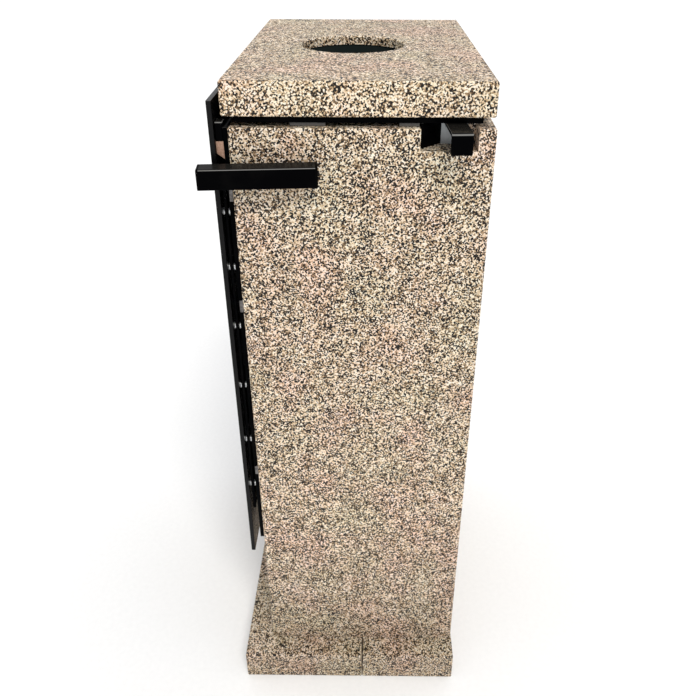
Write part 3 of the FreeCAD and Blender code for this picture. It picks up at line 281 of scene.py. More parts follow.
@dataclass(frozen=True)
class Granite(Finish):
    """Sawn and honed medium-grain granite: interlocked grains of cream feldspar, smoky quartz and black mica.

    The eye gets a salt-and-pepper speckle of hard-edged grains, a dull surface and no reflections.
    """

    offset: Point = (0.0, 0.0, 0.0)
    tint: str = "#faf2e8"
    grain: float = 1.75 * MM
    patch: float = 16.0 * MM
    cloud: float = 75.0 * MM
    # Height up to which the stone is drawn darker towards the ground, as painted shade.
    ground_shade_height: float = 330.0 * MM
    tones: tuple[tuple[float, str], ...] = (
        (0.00, "#020101"),
        (0.25, "#0d0805"),
        (0.35, "#3c2c1d"),
        (0.45, "#917a5f"),
        (0.56, "#d3bfa3"),
        (0.70, "#f3e6d3"),
        (0.85, "#fff9f0"),
        (1.00, "#ffffff"),
    )

    def paint(self, tree: bpy.types.NodeTree, shader: bpy.types.Node, place: bpy.types.NodeSocket) -> None:
        """Grains as random cells with uneven outlines, in denser and paler patches, darker near the ground as painted
        shade.
        """
        block_place = add_node(tree, "ShaderNodeMapping", {"Vector": place, "Location": self.offset}).outputs[0]
        sway = add_node(tree, "ShaderNodeTexNoise", {"Vector": block_place, "Scale": 0.8 / self.grain, "Detail": 2.0})
        uneven = add_node(
            tree,
            "ShaderNodeVectorMath",
            {0: sway.outputs["Color"], 1: (self.grain, self.grain, self.grain), 2: block_place},
            operation="MULTIPLY_ADD",
        ).outputs[0]
        grains = add_node(tree, "ShaderNodeTexVoronoi", {"Vector": uneven, "Scale": 1 / self.grain})
        kind = add_node(tree, "ShaderNodeSeparateColor", {0: grains.outputs["Color"]}).outputs[0]
        patches = add_node(
            tree, "ShaderNodeTexNoise", {"Vector": block_place, "Scale": 1 / self.patch, "Detail": 3.0}
        ).outputs[0]
        shift = add_node(tree, "ShaderNodeMath", {0: patches, 1: 0.5, 2: -0.25}, operation="MULTIPLY_ADD").outputs[0]
        choice = add_node(tree, "ShaderNodeMath", {0: kind, 1: shift}, operation="ADD").outputs[0]
        tone = add_node(tree, "ShaderNodeValToRGB", {0: choice}, self.tones).outputs[0]
        flecks = add_node(tree, "ShaderNodeTexVoronoi", {"Vector": uneven, "Scale": 2.4 / self.grain})
        fleck = add_node(tree, "ShaderNodeSeparateColor", {0: flecks.outputs["Color"]}).outputs[1]
        speck = add_node(
            tree,
            "ShaderNodeValToRGB",
            {0: fleck},
            ((0.0, "#4b4036"), (0.16, "#b4a799"), (0.4, "#f2efea"), (1.0, "#ffffff")),
        ).outputs[0]
        colour = add_node(
            tree, "ShaderNodeMix", {0: 0.35, 6: tone, 7: speck}, data_type="RGBA", blend_type="MULTIPLY"
        ).outputs[2]
        cast = add_node(tree, "ShaderNodeTexNoise", {"Vector": block_place, "Scale": 1 / self.cloud, "Detail": 2.0})
        hue = add_node(
            tree, "ShaderNodeValToRGB", {0: cast.outputs[0]}, ((0.3, "#f8fbf3"), (0.5, "#fdfbf7"), (0.68, "#fff3f1"))
        ).outputs[0]
        # Painted shade: the stone is drawn darker towards the ground, up to the given height.
        height = add_node(tree, "ShaderNodeSeparateXYZ", {0: place}).outputs["Z"]
        ground_falloff = add_node(tree, "ShaderNodeMapRange", {0: height, 2: self.ground_shade_height}).outputs[0]
        painted_ground_shade = add_node(
            tree, "ShaderNodeValToRGB", {0: ground_falloff}, ((0.0, "#d9d0c4"), (0.25, "#e2dbd0"), (1.0, self.tint))
        ).outputs[0]
        for layer in (hue, painted_ground_shade):
            colour = add_node(
                tree, "ShaderNodeMix", {0: 1.0, 6: colour, 7: layer}, data_type="RGBA", blend_type="MULTIPLY"
            ).outputs[2]
        gloss = add_node(tree, "ShaderNodeMapRange", {0: choice, 3: 0.42, 4: 0.68}).outputs[0]
        pits = add_node(tree, "ShaderNodeTexNoise", {"Vector": block_place, "Scale": 1.6 / self.grain, "Detail": 4.0})
        relief = add_node(
            tree, "ShaderNodeBump", {"Height": pits.outputs[0], "Strength": 0.35, "Distance": 0.5 * MM}
        ).outputs[0]
        tree.links.new(colour, shader.inputs["Base Color"])
        tree.links.new(gloss, shader.inputs["Roughness"])
        tree.links.new(relief, shader.inputs["Normal"])
        shader.inputs["IOR"].default_value = 1.54
        shader.inputs["Specular IOR Level"].default_value = 0.3


@dataclass(frozen=True)
class PowderCoat(Finish):
    """Satin black polyester powder coat on steel: a deep, slightly uneven black with fine orange peel.

    Faces that look up are drawn paler, for dust and a painted sheen, and the rounded upper edges carry a painted
    highlight. The real peel is about 1 mm across. It is drawn at 2.5 mm so that it still shows from a few steps away.
    """

    colour: str = "#020203"
    dust: str = "#171614"
    # Paler tone of faces that look up is dust together with a painted sheen; paler tone of rounded upper edges is a
    # painted highlight.
    top_dust_and_sheen: str = "#1c1b19"
    edge_highlight: str = "#7c7b78"
    sheen: float = 0.015
    peel: float = 2.5 * MM
    scuff: float = 45.0 * MM

    def paint(self, tree: bpy.types.NodeTree, shader: bpy.types.Node, place: bpy.types.NodeSocket) -> None:
        """Black with faint dust and scuffs, a painted sheen on faces that look up, a painted highlight on the rounded
        upper edges, and the coat's own small waves.
        """
        wear = add_node(
            tree, "ShaderNodeTexNoise", {"Vector": place, "Scale": 1 / self.scuff, "Detail": 7.0, "Roughness": 0.62}
        ).outputs[0]
        amount = add_node(tree, "ShaderNodeMapRange", {0: wear, 1: 0.52, 2: 0.78, 3: 0.0, 4: 0.3}).outputs[0]
        colour = add_node(
            tree, "ShaderNodeMix", {0: amount, 6: linear(self.colour), 7: linear(self.dust)}, data_type="RGBA"
        ).outputs[2]
        facing = add_node(tree, "ShaderNodeTexCoord").outputs["Normal"]
        upward = add_node(tree, "ShaderNodeSeparateXYZ", {0: facing}).outputs["Z"]
        # Masks: faces that look up get dust with a painted sheen; rounded edges facing partly up get a painted
        # highlight.
        lying = add_node(tree, "ShaderNodeMapRange", {0: upward, 1: 0.8, 2: 1.0}).outputs[0]
        edge = add_node(
            tree,
            "ShaderNodeValToRGB",
            {0: upward},
            ((0.42, "#000000"), (0.6, "#ffffff"), (0.7, "#ffffff"), (0.85, "#000000")),
        ).outputs[0]
        # Mixes in the dust with painted sheen on upward faces and the painted highlight on upper edges.
        for amount, tone in ((lying, self.top_dust_and_sheen), (edge, self.edge_highlight)):
            colour = add_node(
                tree, "ShaderNodeMix", {0: amount, 6: colour, 7: linear(tone)}, data_type="RGBA"
            ).outputs[2]
        gloss = add_node(tree, "ShaderNodeMapRange", {0: wear, 1: 0.3, 2: 0.75, 3: 0.17, 4: 0.3}).outputs[0]
        peel = add_node(tree, "ShaderNodeTexNoise", {"Vector": place, "Scale": 1 / self.peel, "Detail": 1.5})
        relief = add_node(
            tree, "ShaderNodeBump", {"Height": peel.outputs[0], "Strength": 0.15, "Distance": 0.06 * MM}
        ).outputs[0]
        tree.links.new(colour, shader.inputs["Base Color"])
        tree.links.new(gloss, shader.inputs["Roughness"])
        tree.links.new(relief, shader.inputs["Normal"])
        shader.inputs["IOR"].default_value = 1.5
        shader.inputs["Specular IOR Level"].default_value = self.sheen


@dataclass(frozen=True)
class MouldedPlastic(Finish):
    """Black polyethylene moulded in a spark-eroded tool: a matt, finely pitted surface."""

    colour: str = "#020202"
    pit: float = 0.9 * MM

    def paint(self, tree: bpy.types.NodeTree, shader: bpy.types.Node, place: bpy.types.NodeSocket) -> None:
        """A nearly even black with the tool's fine pits."""
        pitting = {"Vector": place, "Scale": 1 / self.pit, "Detail": 3.0}
        pits = add_node(tree, "ShaderNodeTexNoise", pitting).outputs[0]
        gloss = add_node(tree, "ShaderNodeMapRange", {0: pits, 1: 0.3, 2: 0.7, 3: 0.42, 4: 0.6}).outputs[0]
        tone = add_node(tree, "ShaderNodeValToRGB", {0: pits}, ((0.3, self.colour), (0.8, "#060606"))).outputs[0]
        relief = add_node(tree, "ShaderNodeBump", {"Height": pits, "Strength": 0.3, "Distance": 0.08 * MM}).outputs[0]
        tree.links.new(tone, shader.inputs["Base Color"])
        tree.links.new(gloss, shader.inputs["Roughness"])
        tree.links.new(relief, shader.inputs["Normal"])
        shader.inputs["IOR"].default_value = 1.51
        shader.inputs["Specular IOR Level"].default_value = 0.02


@dataclass(frozen=True)
class ZincPlate(Finish):
    """Bright electroplated zinc on small steel parts: a cool silver with soft cloudy passivation."""

    bright: str = "#f6f7f8"
    dull: str = "#cfd1cf"
    cloud: float = 5.0 * MM

    def paint(self, tree: bpy.types.NodeTree, shader: bpy.types.Node, place: bpy.types.NodeSocket) -> None:
        """Metal with clouds of duller plating."""
        clouds = add_node(
            tree, "ShaderNodeTexNoise", {"Vector": place, "Scale": 1 / self.cloud, "Detail": 4.0}
        ).outputs[0]
        tone = add_node(tree, "ShaderNodeValToRGB", {0: clouds}, ((0.3, self.dull), (0.65, self.bright))).outputs[0]
        gloss = add_node(tree, "ShaderNodeMapRange", {0: clouds, 1: 0.3, 2: 0.7, 3: 0.42, 4: 0.24}).outputs[0]
        tree.links.new(tone, shader.inputs["Base Color"])
        tree.links.new(gloss, shader.inputs["Roughness"])
        shader.inputs["Metallic"].default_value = 1.0


@dataclass(frozen=True)
class Galvanised(Finish):
    """Hot-dip galvanised sheet: spangles about 10 mm across, each a slightly different grey."""

    spangle: float = 10.0 * MM
    bright: str = "#b9bdbf"
    dull: str = "#85898b"

    def paint(self, tree: bpy.types.NodeTree, shader: bpy.types.Node, place: bpy.types.NodeSocket) -> None:
        """Random crystals with feathered outlines under a thin white bloom."""
        feather = add_node(tree, "ShaderNodeTexNoise", {"Vector": place, "Scale": 3 / self.spangle, "Detail": 3.0})
        uneven = add_node(
            tree,
            "ShaderNodeVectorMath",
            {0: feather.outputs["Color"], 1: (0.5 * self.spangle,) * 3, 2: place},
            operation="MULTIPLY_ADD",
        ).outputs[0]
        cells = add_node(tree, "ShaderNodeTexVoronoi", {"Vector": uneven, "Scale": 1 / self.spangle})
        crystal = add_node(tree, "ShaderNodeSeparateColor", {0: cells.outputs["Color"]}).outputs[0]
        tone = add_node(tree, "ShaderNodeValToRGB", {0: crystal}, ((0.0, self.dull), (1.0, self.bright))).outputs[0]
        gloss = add_node(tree, "ShaderNodeMapRange", {0: crystal, 3: 0.38, 4: 0.6}).outputs[0]
        tree.links.new(tone, shader.inputs["Base Color"])
        tree.links.new(gloss, shader.inputs["Roughness"])
        shader.inputs["Metallic"].default_value = 0.9


@dataclass(frozen=True)
class MouldedRubber(Finish):
    """Moulded rubber: dull, with a faint bloom and dust caught in it."""

    colour: str = "#545250"
    bloom: str = "#696764"
    grain: float = 2.0 * MM

    def paint(self, tree: bpy.types.NodeTree, shader: bpy.types.Node, place: bpy.types.NodeSocket) -> None:
        """Mottled rubber with a soft skin."""
        mottle = add_node(
            tree, "ShaderNodeTexNoise", {"Vector": place, "Scale": 1 / self.grain, "Detail": 5.0}
        ).outputs[0]
        tone = add_node(tree, "ShaderNodeValToRGB", {0: mottle}, ((0.35, self.colour), (0.75, self.bloom))).outputs[0]
        gloss = add_node(tree, "ShaderNodeMapRange", {0: mottle, 1: 0.3, 2: 0.7, 3: 0.7, 4: 0.9}).outputs[0]
        rise = {"Height": mottle, "Strength": 0.3, "Distance": 0.1 * MM}
        relief = add_node(tree, "ShaderNodeBump", rise).outputs[0]
        tree.links.new(tone, shader.inputs["Base Color"])
        tree.links.new(gloss, shader.inputs["Roughness"])
        tree.links.new(relief, shader.inputs["Normal"])
        shader.inputs["IOR"].default_value = 1.52


@dataclass(frozen=True)
class ChromePlate(Finish):
    """Polished chrome plate on the lock's zinc casting: a clear mirror with faint wiping marks."""

    colour: str = "#e3e4e6"
    smear: float = 7.0 * MM

    def paint(self, tree: bpy.types.NodeTree, shader: bpy.types.Node, place: bpy.types.NodeSocket) -> None:
        """A mirror that is duller where it has been handled."""
        handled = add_node(
            tree, "ShaderNodeTexNoise", {"Vector": place, "Scale": 1 / self.smear, "Detail": 4.0}
        ).outputs[0]
        gloss = add_node(tree, "ShaderNodeMapRange", {0: handled, 1: 0.35, 2: 0.75, 3: 0.06, 4: 0.2}).outputs[0]
        tone = add_node(tree, "ShaderNodeValToRGB", {0: handled}, ((0.3, self.colour), (0.8, "#c9cacb"))).outputs[0]
        tree.links.new(tone, shader.inputs["Base Color"])
        tree.links.new(gloss, shader.inputs["Roughness"])
        shader.inputs["Metallic"].default_value = 1.0


@dataclass(frozen=True)
class StudioPaint(Finish):
    """Matt white paint of the studio floor, with a barely visible roller texture."""

    colour: str = "#f4f4f3"

    def paint(self, tree: bpy.types.NodeTree, shader: bpy.types.Node, place: bpy.types.NodeSocket) -> None:
        """White paint."""
        nap = add_node(tree, "ShaderNodeTexNoise", {"Vector": place, "Scale": 120.0, "Detail": 2.0}).outputs[0]
        tone = add_node(tree, "ShaderNodeValToRGB", {0: nap}, ((0.3, "#f1f1f0"), (0.7, self.colour))).outputs[0]
        tree.links.new(tone, shader.inputs["Base Color"])
        shader.inputs["Roughness"].default_value = 0.9
        shader.inputs["Specular IOR Level"].default_value = 0.1


BODY_GRANITE = Granite("Granite, honed, body stones", "granite")
LID_GRANITE = Granite("Granite, honed, lid stone", "granite", offset=(0.37, 0.11, 0.53), tint="#fff5e8")
PLINTH_GRANITE = Granite("Granite, honed, plinth stones", "granite", offset=(0.71, 0.43, 0.19))
COAT = PowderCoat("Powder coat, satin black", "black_powder_coat")
DOOR_COAT = PowderCoat("Powder coat, satin black, chalked", "black_powder_coat", colour="#0a0a0b", sheen=0.14)
# The collar's black coat is drawn in a paler teal-grey, its lit look painted into the colour: painted light.
CHUTE_PAINTED_LIT_COAT = PowderCoat("Powder coat, satin black, painted light", "black_powder_coat", colour="#1d2423", dust="#2e3130")
CAP_PLASTIC = MouldedPlastic("Polyethylene, moulded black", "black_plastic")
ZINC = ZincPlate("Zinc plate, bright", "zinc_plated_steel")
DULL_ZINC = ZincPlate("Zinc plate, weathered", "zinc_plated_steel", bright="#7d7a78", dull="#4b4846")
GALVANISED = Galvanised("Steel, hot-dip galvanised", "galvanised_steel")
PAD_RUBBER = MouldedRubber("Rubber, moulded grey", "grey_rubber")
BUFFER_RUBBER = MouldedRubber("Rubber, natural gum", "tan_rubber", colour="#a07c66", bloom="#bd9a85")
CHROME = ChromePlate("Chrome plate, polished", "lock_chrome")
FLOOR_PAINT = StudioPaint("Paint, studio white", "")


def piece(
    name: str,
    mesh: bmesh.types.BMesh,
    finish: Finish,
    body: str,
    stands_for: Sequence[str] = (),
    crease: float = 35.0,
) -> bpy.types.Object:
    """Makes a finished object from a mesh and hangs it on its body.

    Args:
        name: The object's name.
        mesh: Its mesh, which is used up.
        finish: Its finish.
        body: The body that it rides on.
        stands_for: The CAD nodes that it replaces.
        crease: Edges that turn by more degrees stay sharp.

    Returns:
        The object.
    """
    data = bpy.data.meshes.new(name)
    mesh.to_mesh(data)
    mesh.free()
    data.shade_smooth()
    data.set_sharp_from_angle(angle=math.radians(crease))
    data.materials.append(finish.material())
    made = bpy.data.objects.new(name, data)
    bpy.context.scene.collection.objects.link(made)
    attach(made, body)
    if stands_for:
        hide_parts(*stands_for)
    log.info("%s: %d faces, %s, on %s", name, len(data.polygons), finish.name, body)
    return made


# ---- fasteners --------------------------------------------------------------------------------
class Drive(Enum):
    """The recess in a screw's head."""

    HEX_SOCKET = "hexagon socket"
    CROSS = "cross recess"

    def reach(self, angle: float, size: float) -> float:
        """How far the recess reaches at an angle round the head.

        Args:
            angle: The angle, in radians.
            size: Half the recess's width across its flats, or the length of one arm of the cross.

        Returns:
            The distance from the head's axis.
        """
        if self is Drive.HEX_SOCKET:
            return size / math.cos((angle % (math.tau / 6)) - math.tau / 12)
        off_arm = (angle + math.tau / 8) % (math.tau / 4) - math.tau / 8
        return min(size / math.cos(off_arm), 0.3 * size / max(abs(math.sin(off_arm)), 1e-3))


@dataclass(frozen=True)
class Screw:
    """A screw made along +Z, the top of its head at Z = 0 and its shank below."""

    base_radius: float
    top_radius: float
    head: float
    shank_radius: float
    length: float
    drive: Drive
    recess: float
    depth: float
    rounding: float

    def make(self) -> bmesh.types.BMesh:
        """The screw's head with its recess, and its shank."""
        mesh = bmesh.new()
        bmesh.ops.create_cone(
            mesh,
            cap_ends=True,
            segments=32,
            radius1=self.base_radius,
            radius2=self.top_radius,
            depth=self.head,
            matrix=Matrix.Translation((0, 0, -self.head / 2)),
        )
        ease(mesh, edges_where(mesh, lambda a, b: min(a.z, b.z) > -1e-7), self.rounding, 3)
        top = max(mesh.faces, key=lambda face: face.calc_center_median().z)
        bmesh.ops.inset_region(mesh, faces=[top], thickness=0.2 * (self.top_radius - self.rounding - self.recess))
        bmesh.ops.inset_region(mesh, faces=[top], thickness=0.1 * (self.top_radius - self.rounding - self.recess))
        for corner in top.verts:
            angle = math.atan2(corner.co.y, corner.co.x)
            reach = self.drive.reach(angle, self.recess)
            corner.co = Vector((reach * math.cos(angle), reach * math.sin(angle), corner.co.z))
        bmesh.ops.inset_region(mesh, faces=[top], thickness=0.04 * self.recess, depth=-self.depth)
        bmesh.ops.create_cone(
            mesh,
            cap_ends=True,
            segments=16,
            radius1=self.shank_radius,
            radius2=self.shank_radius,
            depth=self.length - self.head,
            matrix=Matrix.Translation((0, 0, -(self.length + self.head) / 2)),
        )
        return mesh


def hex_block(across_flats: float, height: float, bore: float) -> bmesh.types.BMesh:
    """A hexagon nut with chamfered corners.

    Args:
        across_flats: Its width across flats.
        height: Its height along +Z from Z = 0.
        bore: Radius of its bore.

    Returns:
        A new mesh.
    """
    corner = across_flats / math.sqrt(3)
    flat = across_flats / 2
    mesh = turned(
        ((bore, 0.1 * height), (bore + 0.1 * height, 0.0), (flat, 0.0), (corner, 0.18 * height),
         (corner, 0.82 * height), (flat, height), (bore + 0.1 * height, height), (bore, 0.9 * height)),
        closed=True,
        steps=48,
    )
    for vertex in mesh.verts:
        angle = math.atan2(vertex.co.y, vertex.co.x)
        limit = flat / math.cos((angle % (math.tau / 6)) - math.tau / 12)
        radius = math.hypot(vertex.co.x, vertex.co.y)
        if radius > limit:
            vertex.co.x *= limit / radius
            vertex.co.y *= limit / radius
    return mesh


# ---- sub-assemblies ---------------------------------------------------------------------------
@dataclass
class StoneWork:
    """The plinth, the four body slabs and the rubber pads on the side slabs."""

    pad_rounding: float = 1.2 * MM
    pad_width: float = 22 * MM
    pad_y: tuple[tuple[float, float], ...] = ((-85 * MM, -43 * MM), (43 * MM, 67 * MM))

    def dress(self) -> None:
        """Granite on the stones."""
        BODY_GRANITE.put_on(("side_slab_near", "side_slab_far", "back_slab", "front_slab"))
        PLINTH_GRANITE.put_on(("plinth_front_stone", "plinth_rear_stone"))

    def make_pads(self) -> None:
        """The four rest pads, with rounded edges."""
        low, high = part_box("lid_rest_pads")
        parts = []
        for left in (high.x - self.pad_width, low.x):
            for start, end in self.pad_y:
                pad = block((left, start, low.z), (left + self.pad_width, end, high.z), self.pad_rounding)
                parts.append((pad, IN_PLACE))
        piece("rest_pads", gathered(parts), PAD_RUBBER, "carcass", ["lid_rest_pads"])

    def build(self) -> None:
        """The whole sub-assembly."""
        self.dress()
        self.make_pads()


@dataclass
class Lid:
    """The lid stone on its steel frame, the chute collar, the screws and the hinges on the far side."""

    frame_rounding: float = 1.0 * MM
    collar_bore: float = 73.0 * MM
    collar_wall: float = 3.0 * MM
    flange_under: float = 952.0 * MM
    screw: Screw = Screw(
        6.5 * MM, 4.4 * MM, 4.0 * MM, 4.0 * MM, 26.0 * MM, Drive.HEX_SOCKET, 2.5 * MM, 2.4 * MM, 1.3 * MM
    )
    screw_x: float = 222.0 * MM
    screw_y: tuple[float, float, float] = (-130.0 * MM, -4.75 * MM, 120.5 * MM)
    bolt: Screw = Screw(
        6.5 * MM, 4.6 * MM, 4.5 * MM, 4.0 * MM, 16.0 * MM, Drive.HEX_SOCKET, 2.5 * MM, 2.6 * MM, 1.4 * MM
    )
    bolt_shifts: tuple[float, float] = (-17.5 * MM, 17.5 * MM)
    bolt_heights: tuple[float, float] = (923.0 * MM, 902.0 * MM)
    hinge_y: tuple[float, float] = (-95.0 * MM, 90.0 * MM)
    hinge_axis: tuple[float, float] = (-260.0 * MM, 956.0 * MM)
    pin_radius: float = 3.5 * MM
    pin_half: float = 35.0 * MM

    def dress(self) -> None:
        """Granite on the lid stone and powder coat on the hinge leaves."""
        LID_GRANITE.put_on(("lid_slab",))
        for node, body, size in (
            ("lid_frame", "lid", self.frame_rounding),
            ("lid_hinge_straps", "lid", 0.5 * MM),
            ("lid_hinge_brackets", "carcass", 0.5 * MM),
        ):
            piece(f"{node}_eased", eased_copy(node, size), COAT, body, [node])

    def make_collar(self) -> None:
        """The rolled steel collar with its flange, rounded at both ends and at the flange's rim."""
        bore, wall = self.collar_bore, self.collar_wall
        outer = bore + wall
        low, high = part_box("chute_collar")
        foot, top = low.z, high.z
        flange_top = self.flange_under
        flange_foot = flange_top - wall
        rim = (high.x - low.x) / 2
        half = wall / 2
        outline = (
            (bore, top - half), (bore + 0.45 * MM, top - 0.45 * MM), (bore + half, top),
            (outer - 0.45 * MM, top - 0.45 * MM), (outer, top - half), (outer, flange_top),
            (rim - 1 * MM, flange_top), (rim, flange_top - 1 * MM),
            (rim, flange_foot + 1 * MM), (rim - 1 * MM, flange_foot), (outer + 1.5 * MM, flange_foot),
            (outer + 0.4 * MM, flange_foot - 0.4 * MM), (outer, flange_foot - 1.5 * MM), (outer, foot + half),
            (outer - 0.45 * MM, foot + 0.45 * MM), (bore + half, foot), (bore + 0.45 * MM, foot + 0.45 * MM),
            (bore, foot + half),
        )
        mesh = turned(outline, closed=True, steps=96)
        mesh.transform(Matrix.Translation(((low.x + high.x) / 2, (low.y + high.y) / 2, 0.0)))
        # The collar wears the black coat painted in its lit teal-grey: painted light.
        piece("chute_collar_rolled", mesh, CHUTE_PAINTED_LIT_COAT, "lid", ["chute_collar"])

    def make_fasteners(self) -> None:
        """The socket screws under the frame, the hinge bolts and the hinge pins."""
        down = -UP
        front, middle, rear = self.screw_y
        x = self.screw_x
        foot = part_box("lid_anchor_screws")[0].z
        places = ((-x, front), (0.0, front), (x, front), (-x, middle), (x, middle), (-x, rear), (0.0, rear))
        turns = [turned_to(down, Vector((px, py, foot))) for px, py in places]
        piece("lid_frame_screws", gathered([(self.screw.make(), turns)]), ZINC, "lid", ["lid_anchor_screws"])
        out = Vector((-1.0, 0.0, 0.0))
        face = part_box("lid_hinge_bolts")[0].x
        places = [
            (centre + shift, height)
            for centre in self.hinge_y
            for shift in self.bolt_shifts
            for height in self.bolt_heights
        ]
        turns = [turned_to(out, Vector((face, y, z))) for y, z in places]
        piece("lid_hinge_cap_bolts", gathered([(self.bolt.make(), turns)]), ZINC, "carcass", ["lid_hinge_bolts"])
        radius, half = self.pin_radius, self.pin_half
        head = radius + 1.5 * MM
        end = half + 2 * MM
        outline = (
            (0.0, -end), (head - 1.2 * MM, -end), (head - 0.3 * MM, -end + 0.5 * MM), (head, -end + 1.2 * MM),
            (head, -half), (radius, -half), (radius, half), (head, half), (head, end - 1.2 * MM),
            (head - 0.3 * MM, end - 0.5 * MM), (head - 1.2 * MM, end), (0.0, end),
        )
        x, z = self.hinge_axis
        turns = [turned_to(Vector((0.0, 1.0, 0.0)), Vector((x, y, z))) for y in self.hinge_y]
        pins = gathered([(turned(outline, closed=False), turns)])
        piece("lid_hinge_headed_pins", pins, ZINC, "carcass", ["lid_hinge_pins"])

    def build(self) -> None:
        """The whole sub-assembly."""
        self.dress()
        self.make_collar()
        self.make_fasteners()


@dataclass
class HandleAndBar:
    """The lift handle in its notch with the notch's guard, and the side bar on its wedge with moulded caps."""

    side: float = 25.0 * MM
    corner: float = 2.5 * MM
    plate: float = 3.0 * MM
    plug: float = 11.0 * MM
    plug_side: float = 20.8 * MM
    bar_length: float = 134.0 * MM
    bar_rear_y: float = -52.0 * MM
    bar_z: float = 896.5 * MM
    bar_toe: float = 0.6 * MM
    bar_yaw: float = math.radians(5.0)
    slab_face_x: float = 250.0 * MM

    def cap(self) -> bmesh.types.BMesh:
        """A tube cap along +X: its plate's inner face at X = 0, its plug behind it."""
        mesh = bmesh.new()
        shape = Matrix.Diagonal((self.plate, self.side, self.side, 1.0))
        bmesh.ops.create_cube(mesh, size=1.0, matrix=Matrix.Translation((self.plate / 2, 0, 0)) @ shape)
        ease(mesh, edges_where(mesh, lambda a, b: abs(a.x - b.x) > self.plate / 2), self.corner, 5)
        ease(mesh, edges_where(mesh, lambda a, b: min(a.x, b.x) > self.plate - 1e-6), 0.9 * MM, 3)
        front = max(mesh.faces, key=lambda face: face.calc_center_median().x)
        bmesh.ops.inset_region(mesh, faces=[front], thickness=2.4 * MM)
        bmesh.ops.inset_region(mesh, faces=[front], thickness=0.5 * MM, depth=-0.35 * MM)
        half = self.plug_side / 2
        back = block((-self.plug, -half, -half), (0.0, half, half), 1.0 * MM, 2)
        return gathered([(mesh, IN_PLACE), (back, IN_PLACE)])

    def bar_turn(self) -> Matrix:
        """The side bar's rear end, with +X along the bar towards the front."""
        across = self.bar_toe + self.side / 2 / math.cos(self.bar_yaw) + self.plate * math.sin(self.bar_yaw)
        rear = (self.slab_face_x + across, self.bar_rear_y - self.plate * math.cos(self.bar_yaw), self.bar_z)
        return Matrix.Translation(rear) @ Matrix.Rotation(self.bar_yaw - math.pi / 2, 4, "Z")

    def make_caps(self) -> None:
        """The bar's two caps."""
        turn = self.bar_turn()
        ends = [turn @ Matrix.Translation((self.bar_length, 0, 0)), turn @ Matrix.Rotation(math.pi, 4, "Z")]
        piece("side_bar_end_caps", gathered([(self.cap(), ends)]), CAP_PLASTIC, "carcass", ["side_bar_caps"])

    def dress(self) -> None:
        """Powder coat on the steel, with rounded edges on the handle, the wedge and the guard."""
        COAT.put_on(("side_bar",))
        ZINC.put_on(("side_bar_studs",))
        for node, body, size in (
            ("lift_handle", "lid", 0.6 * MM),
            ("side_bar_wedge", "carcass", 0.8 * MM),
            ("notch_guard", "carcass", 0.5 * MM),
        ):
            piece(f"{node}_eased", eased_copy(node, size), COAT, body, [node])

    def build(self) -> None:
        """The whole sub-assembly."""
        self.dress()
        self.make_caps()


@dataclass
class DoorHinge:
    """The continuous hinge: two knuckled leaves, its pin, plated spacers and countersunk screws."""

    pin_x: float = 246.0 * MM
    pin_y: float = -167.2 * MM
    setback: float = 7.2 * MM
    foot: float = 358.0 * MM
    height: float = 540.0 * MM
    screw_places: tuple[float, ...] = (0.08, 0.24, 0.418, 0.596, 0.757, 0.896)
    leaf_gap: float = 0.2 * MM
    screw_length: float = 8.0 * MM
    spacer_bore: float = 1.65 * MM

    def places(self, y: float) -> list[Vector]:
        """The screws' places at a depth Y."""
        x = self.pin_x - self.setback
        return [Vector((x, y, self.foot + place * self.height)) for place in self.screw_places]

    def make_spacers(self) -> None:
        """The turned spacers behind both leaves, with rounded rims."""
        for node, body in (("hinge_spacers_door", "door"), ("hinge_spacers_frame", "carcass")):
            low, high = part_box(node)
            radius = (high.x - low.x) / 2
            length = high.y - low.y
            rim = 0.45 * MM
            outline = (
                (self.spacer_bore, 0.0), (radius - rim, 0.0), (radius - 0.3 * rim, 0.3 * rim), (radius, rim),
                (radius, length - rim), (radius - 0.3 * rim, length - 0.3 * rim), (radius - rim, length),
                (self.spacer_bore, length),
            )
            turns = [turned_to(Vector((0.0, 1.0, 0.0)), place) for place in self.places(low.y)]
            piece(f"{node}_turned", gathered([(turned(outline, closed=True), turns)]), ZINC, body, [node])

    def make_screws(self) -> None:
        """The countersunk screws, flush with the leaves' inner faces."""
        screw = Screw(
            1.6 * MM, 2.9 * MM, 1.4 * MM, 1.55 * MM, self.screw_length, Drive.CROSS, 1.4 * MM, 0.7 * MM, 0.12 * MM
        )
        for node, body, side in (("hinge_screws_door", "door", -1.0), ("hinge_screws_frame", "carcass", 1.0)):
            face = self.pin_y + side * self.leaf_gap
            turns = [turned_to(Vector((0.0, -side, 0.0)), place) for place in self.places(face)]
            piece(f"{node}_recessed", gathered([(screw.make(), turns)]), ZINC, body, [node])

    def build(self) -> None:
        """The whole sub-assembly."""
        COAT.put_on(("hinge_leaf_door", "hinge_leaf_frame"))
        ZINC.put_on(("hinge_pin",))
        self.make_spacers()
        self.make_screws()


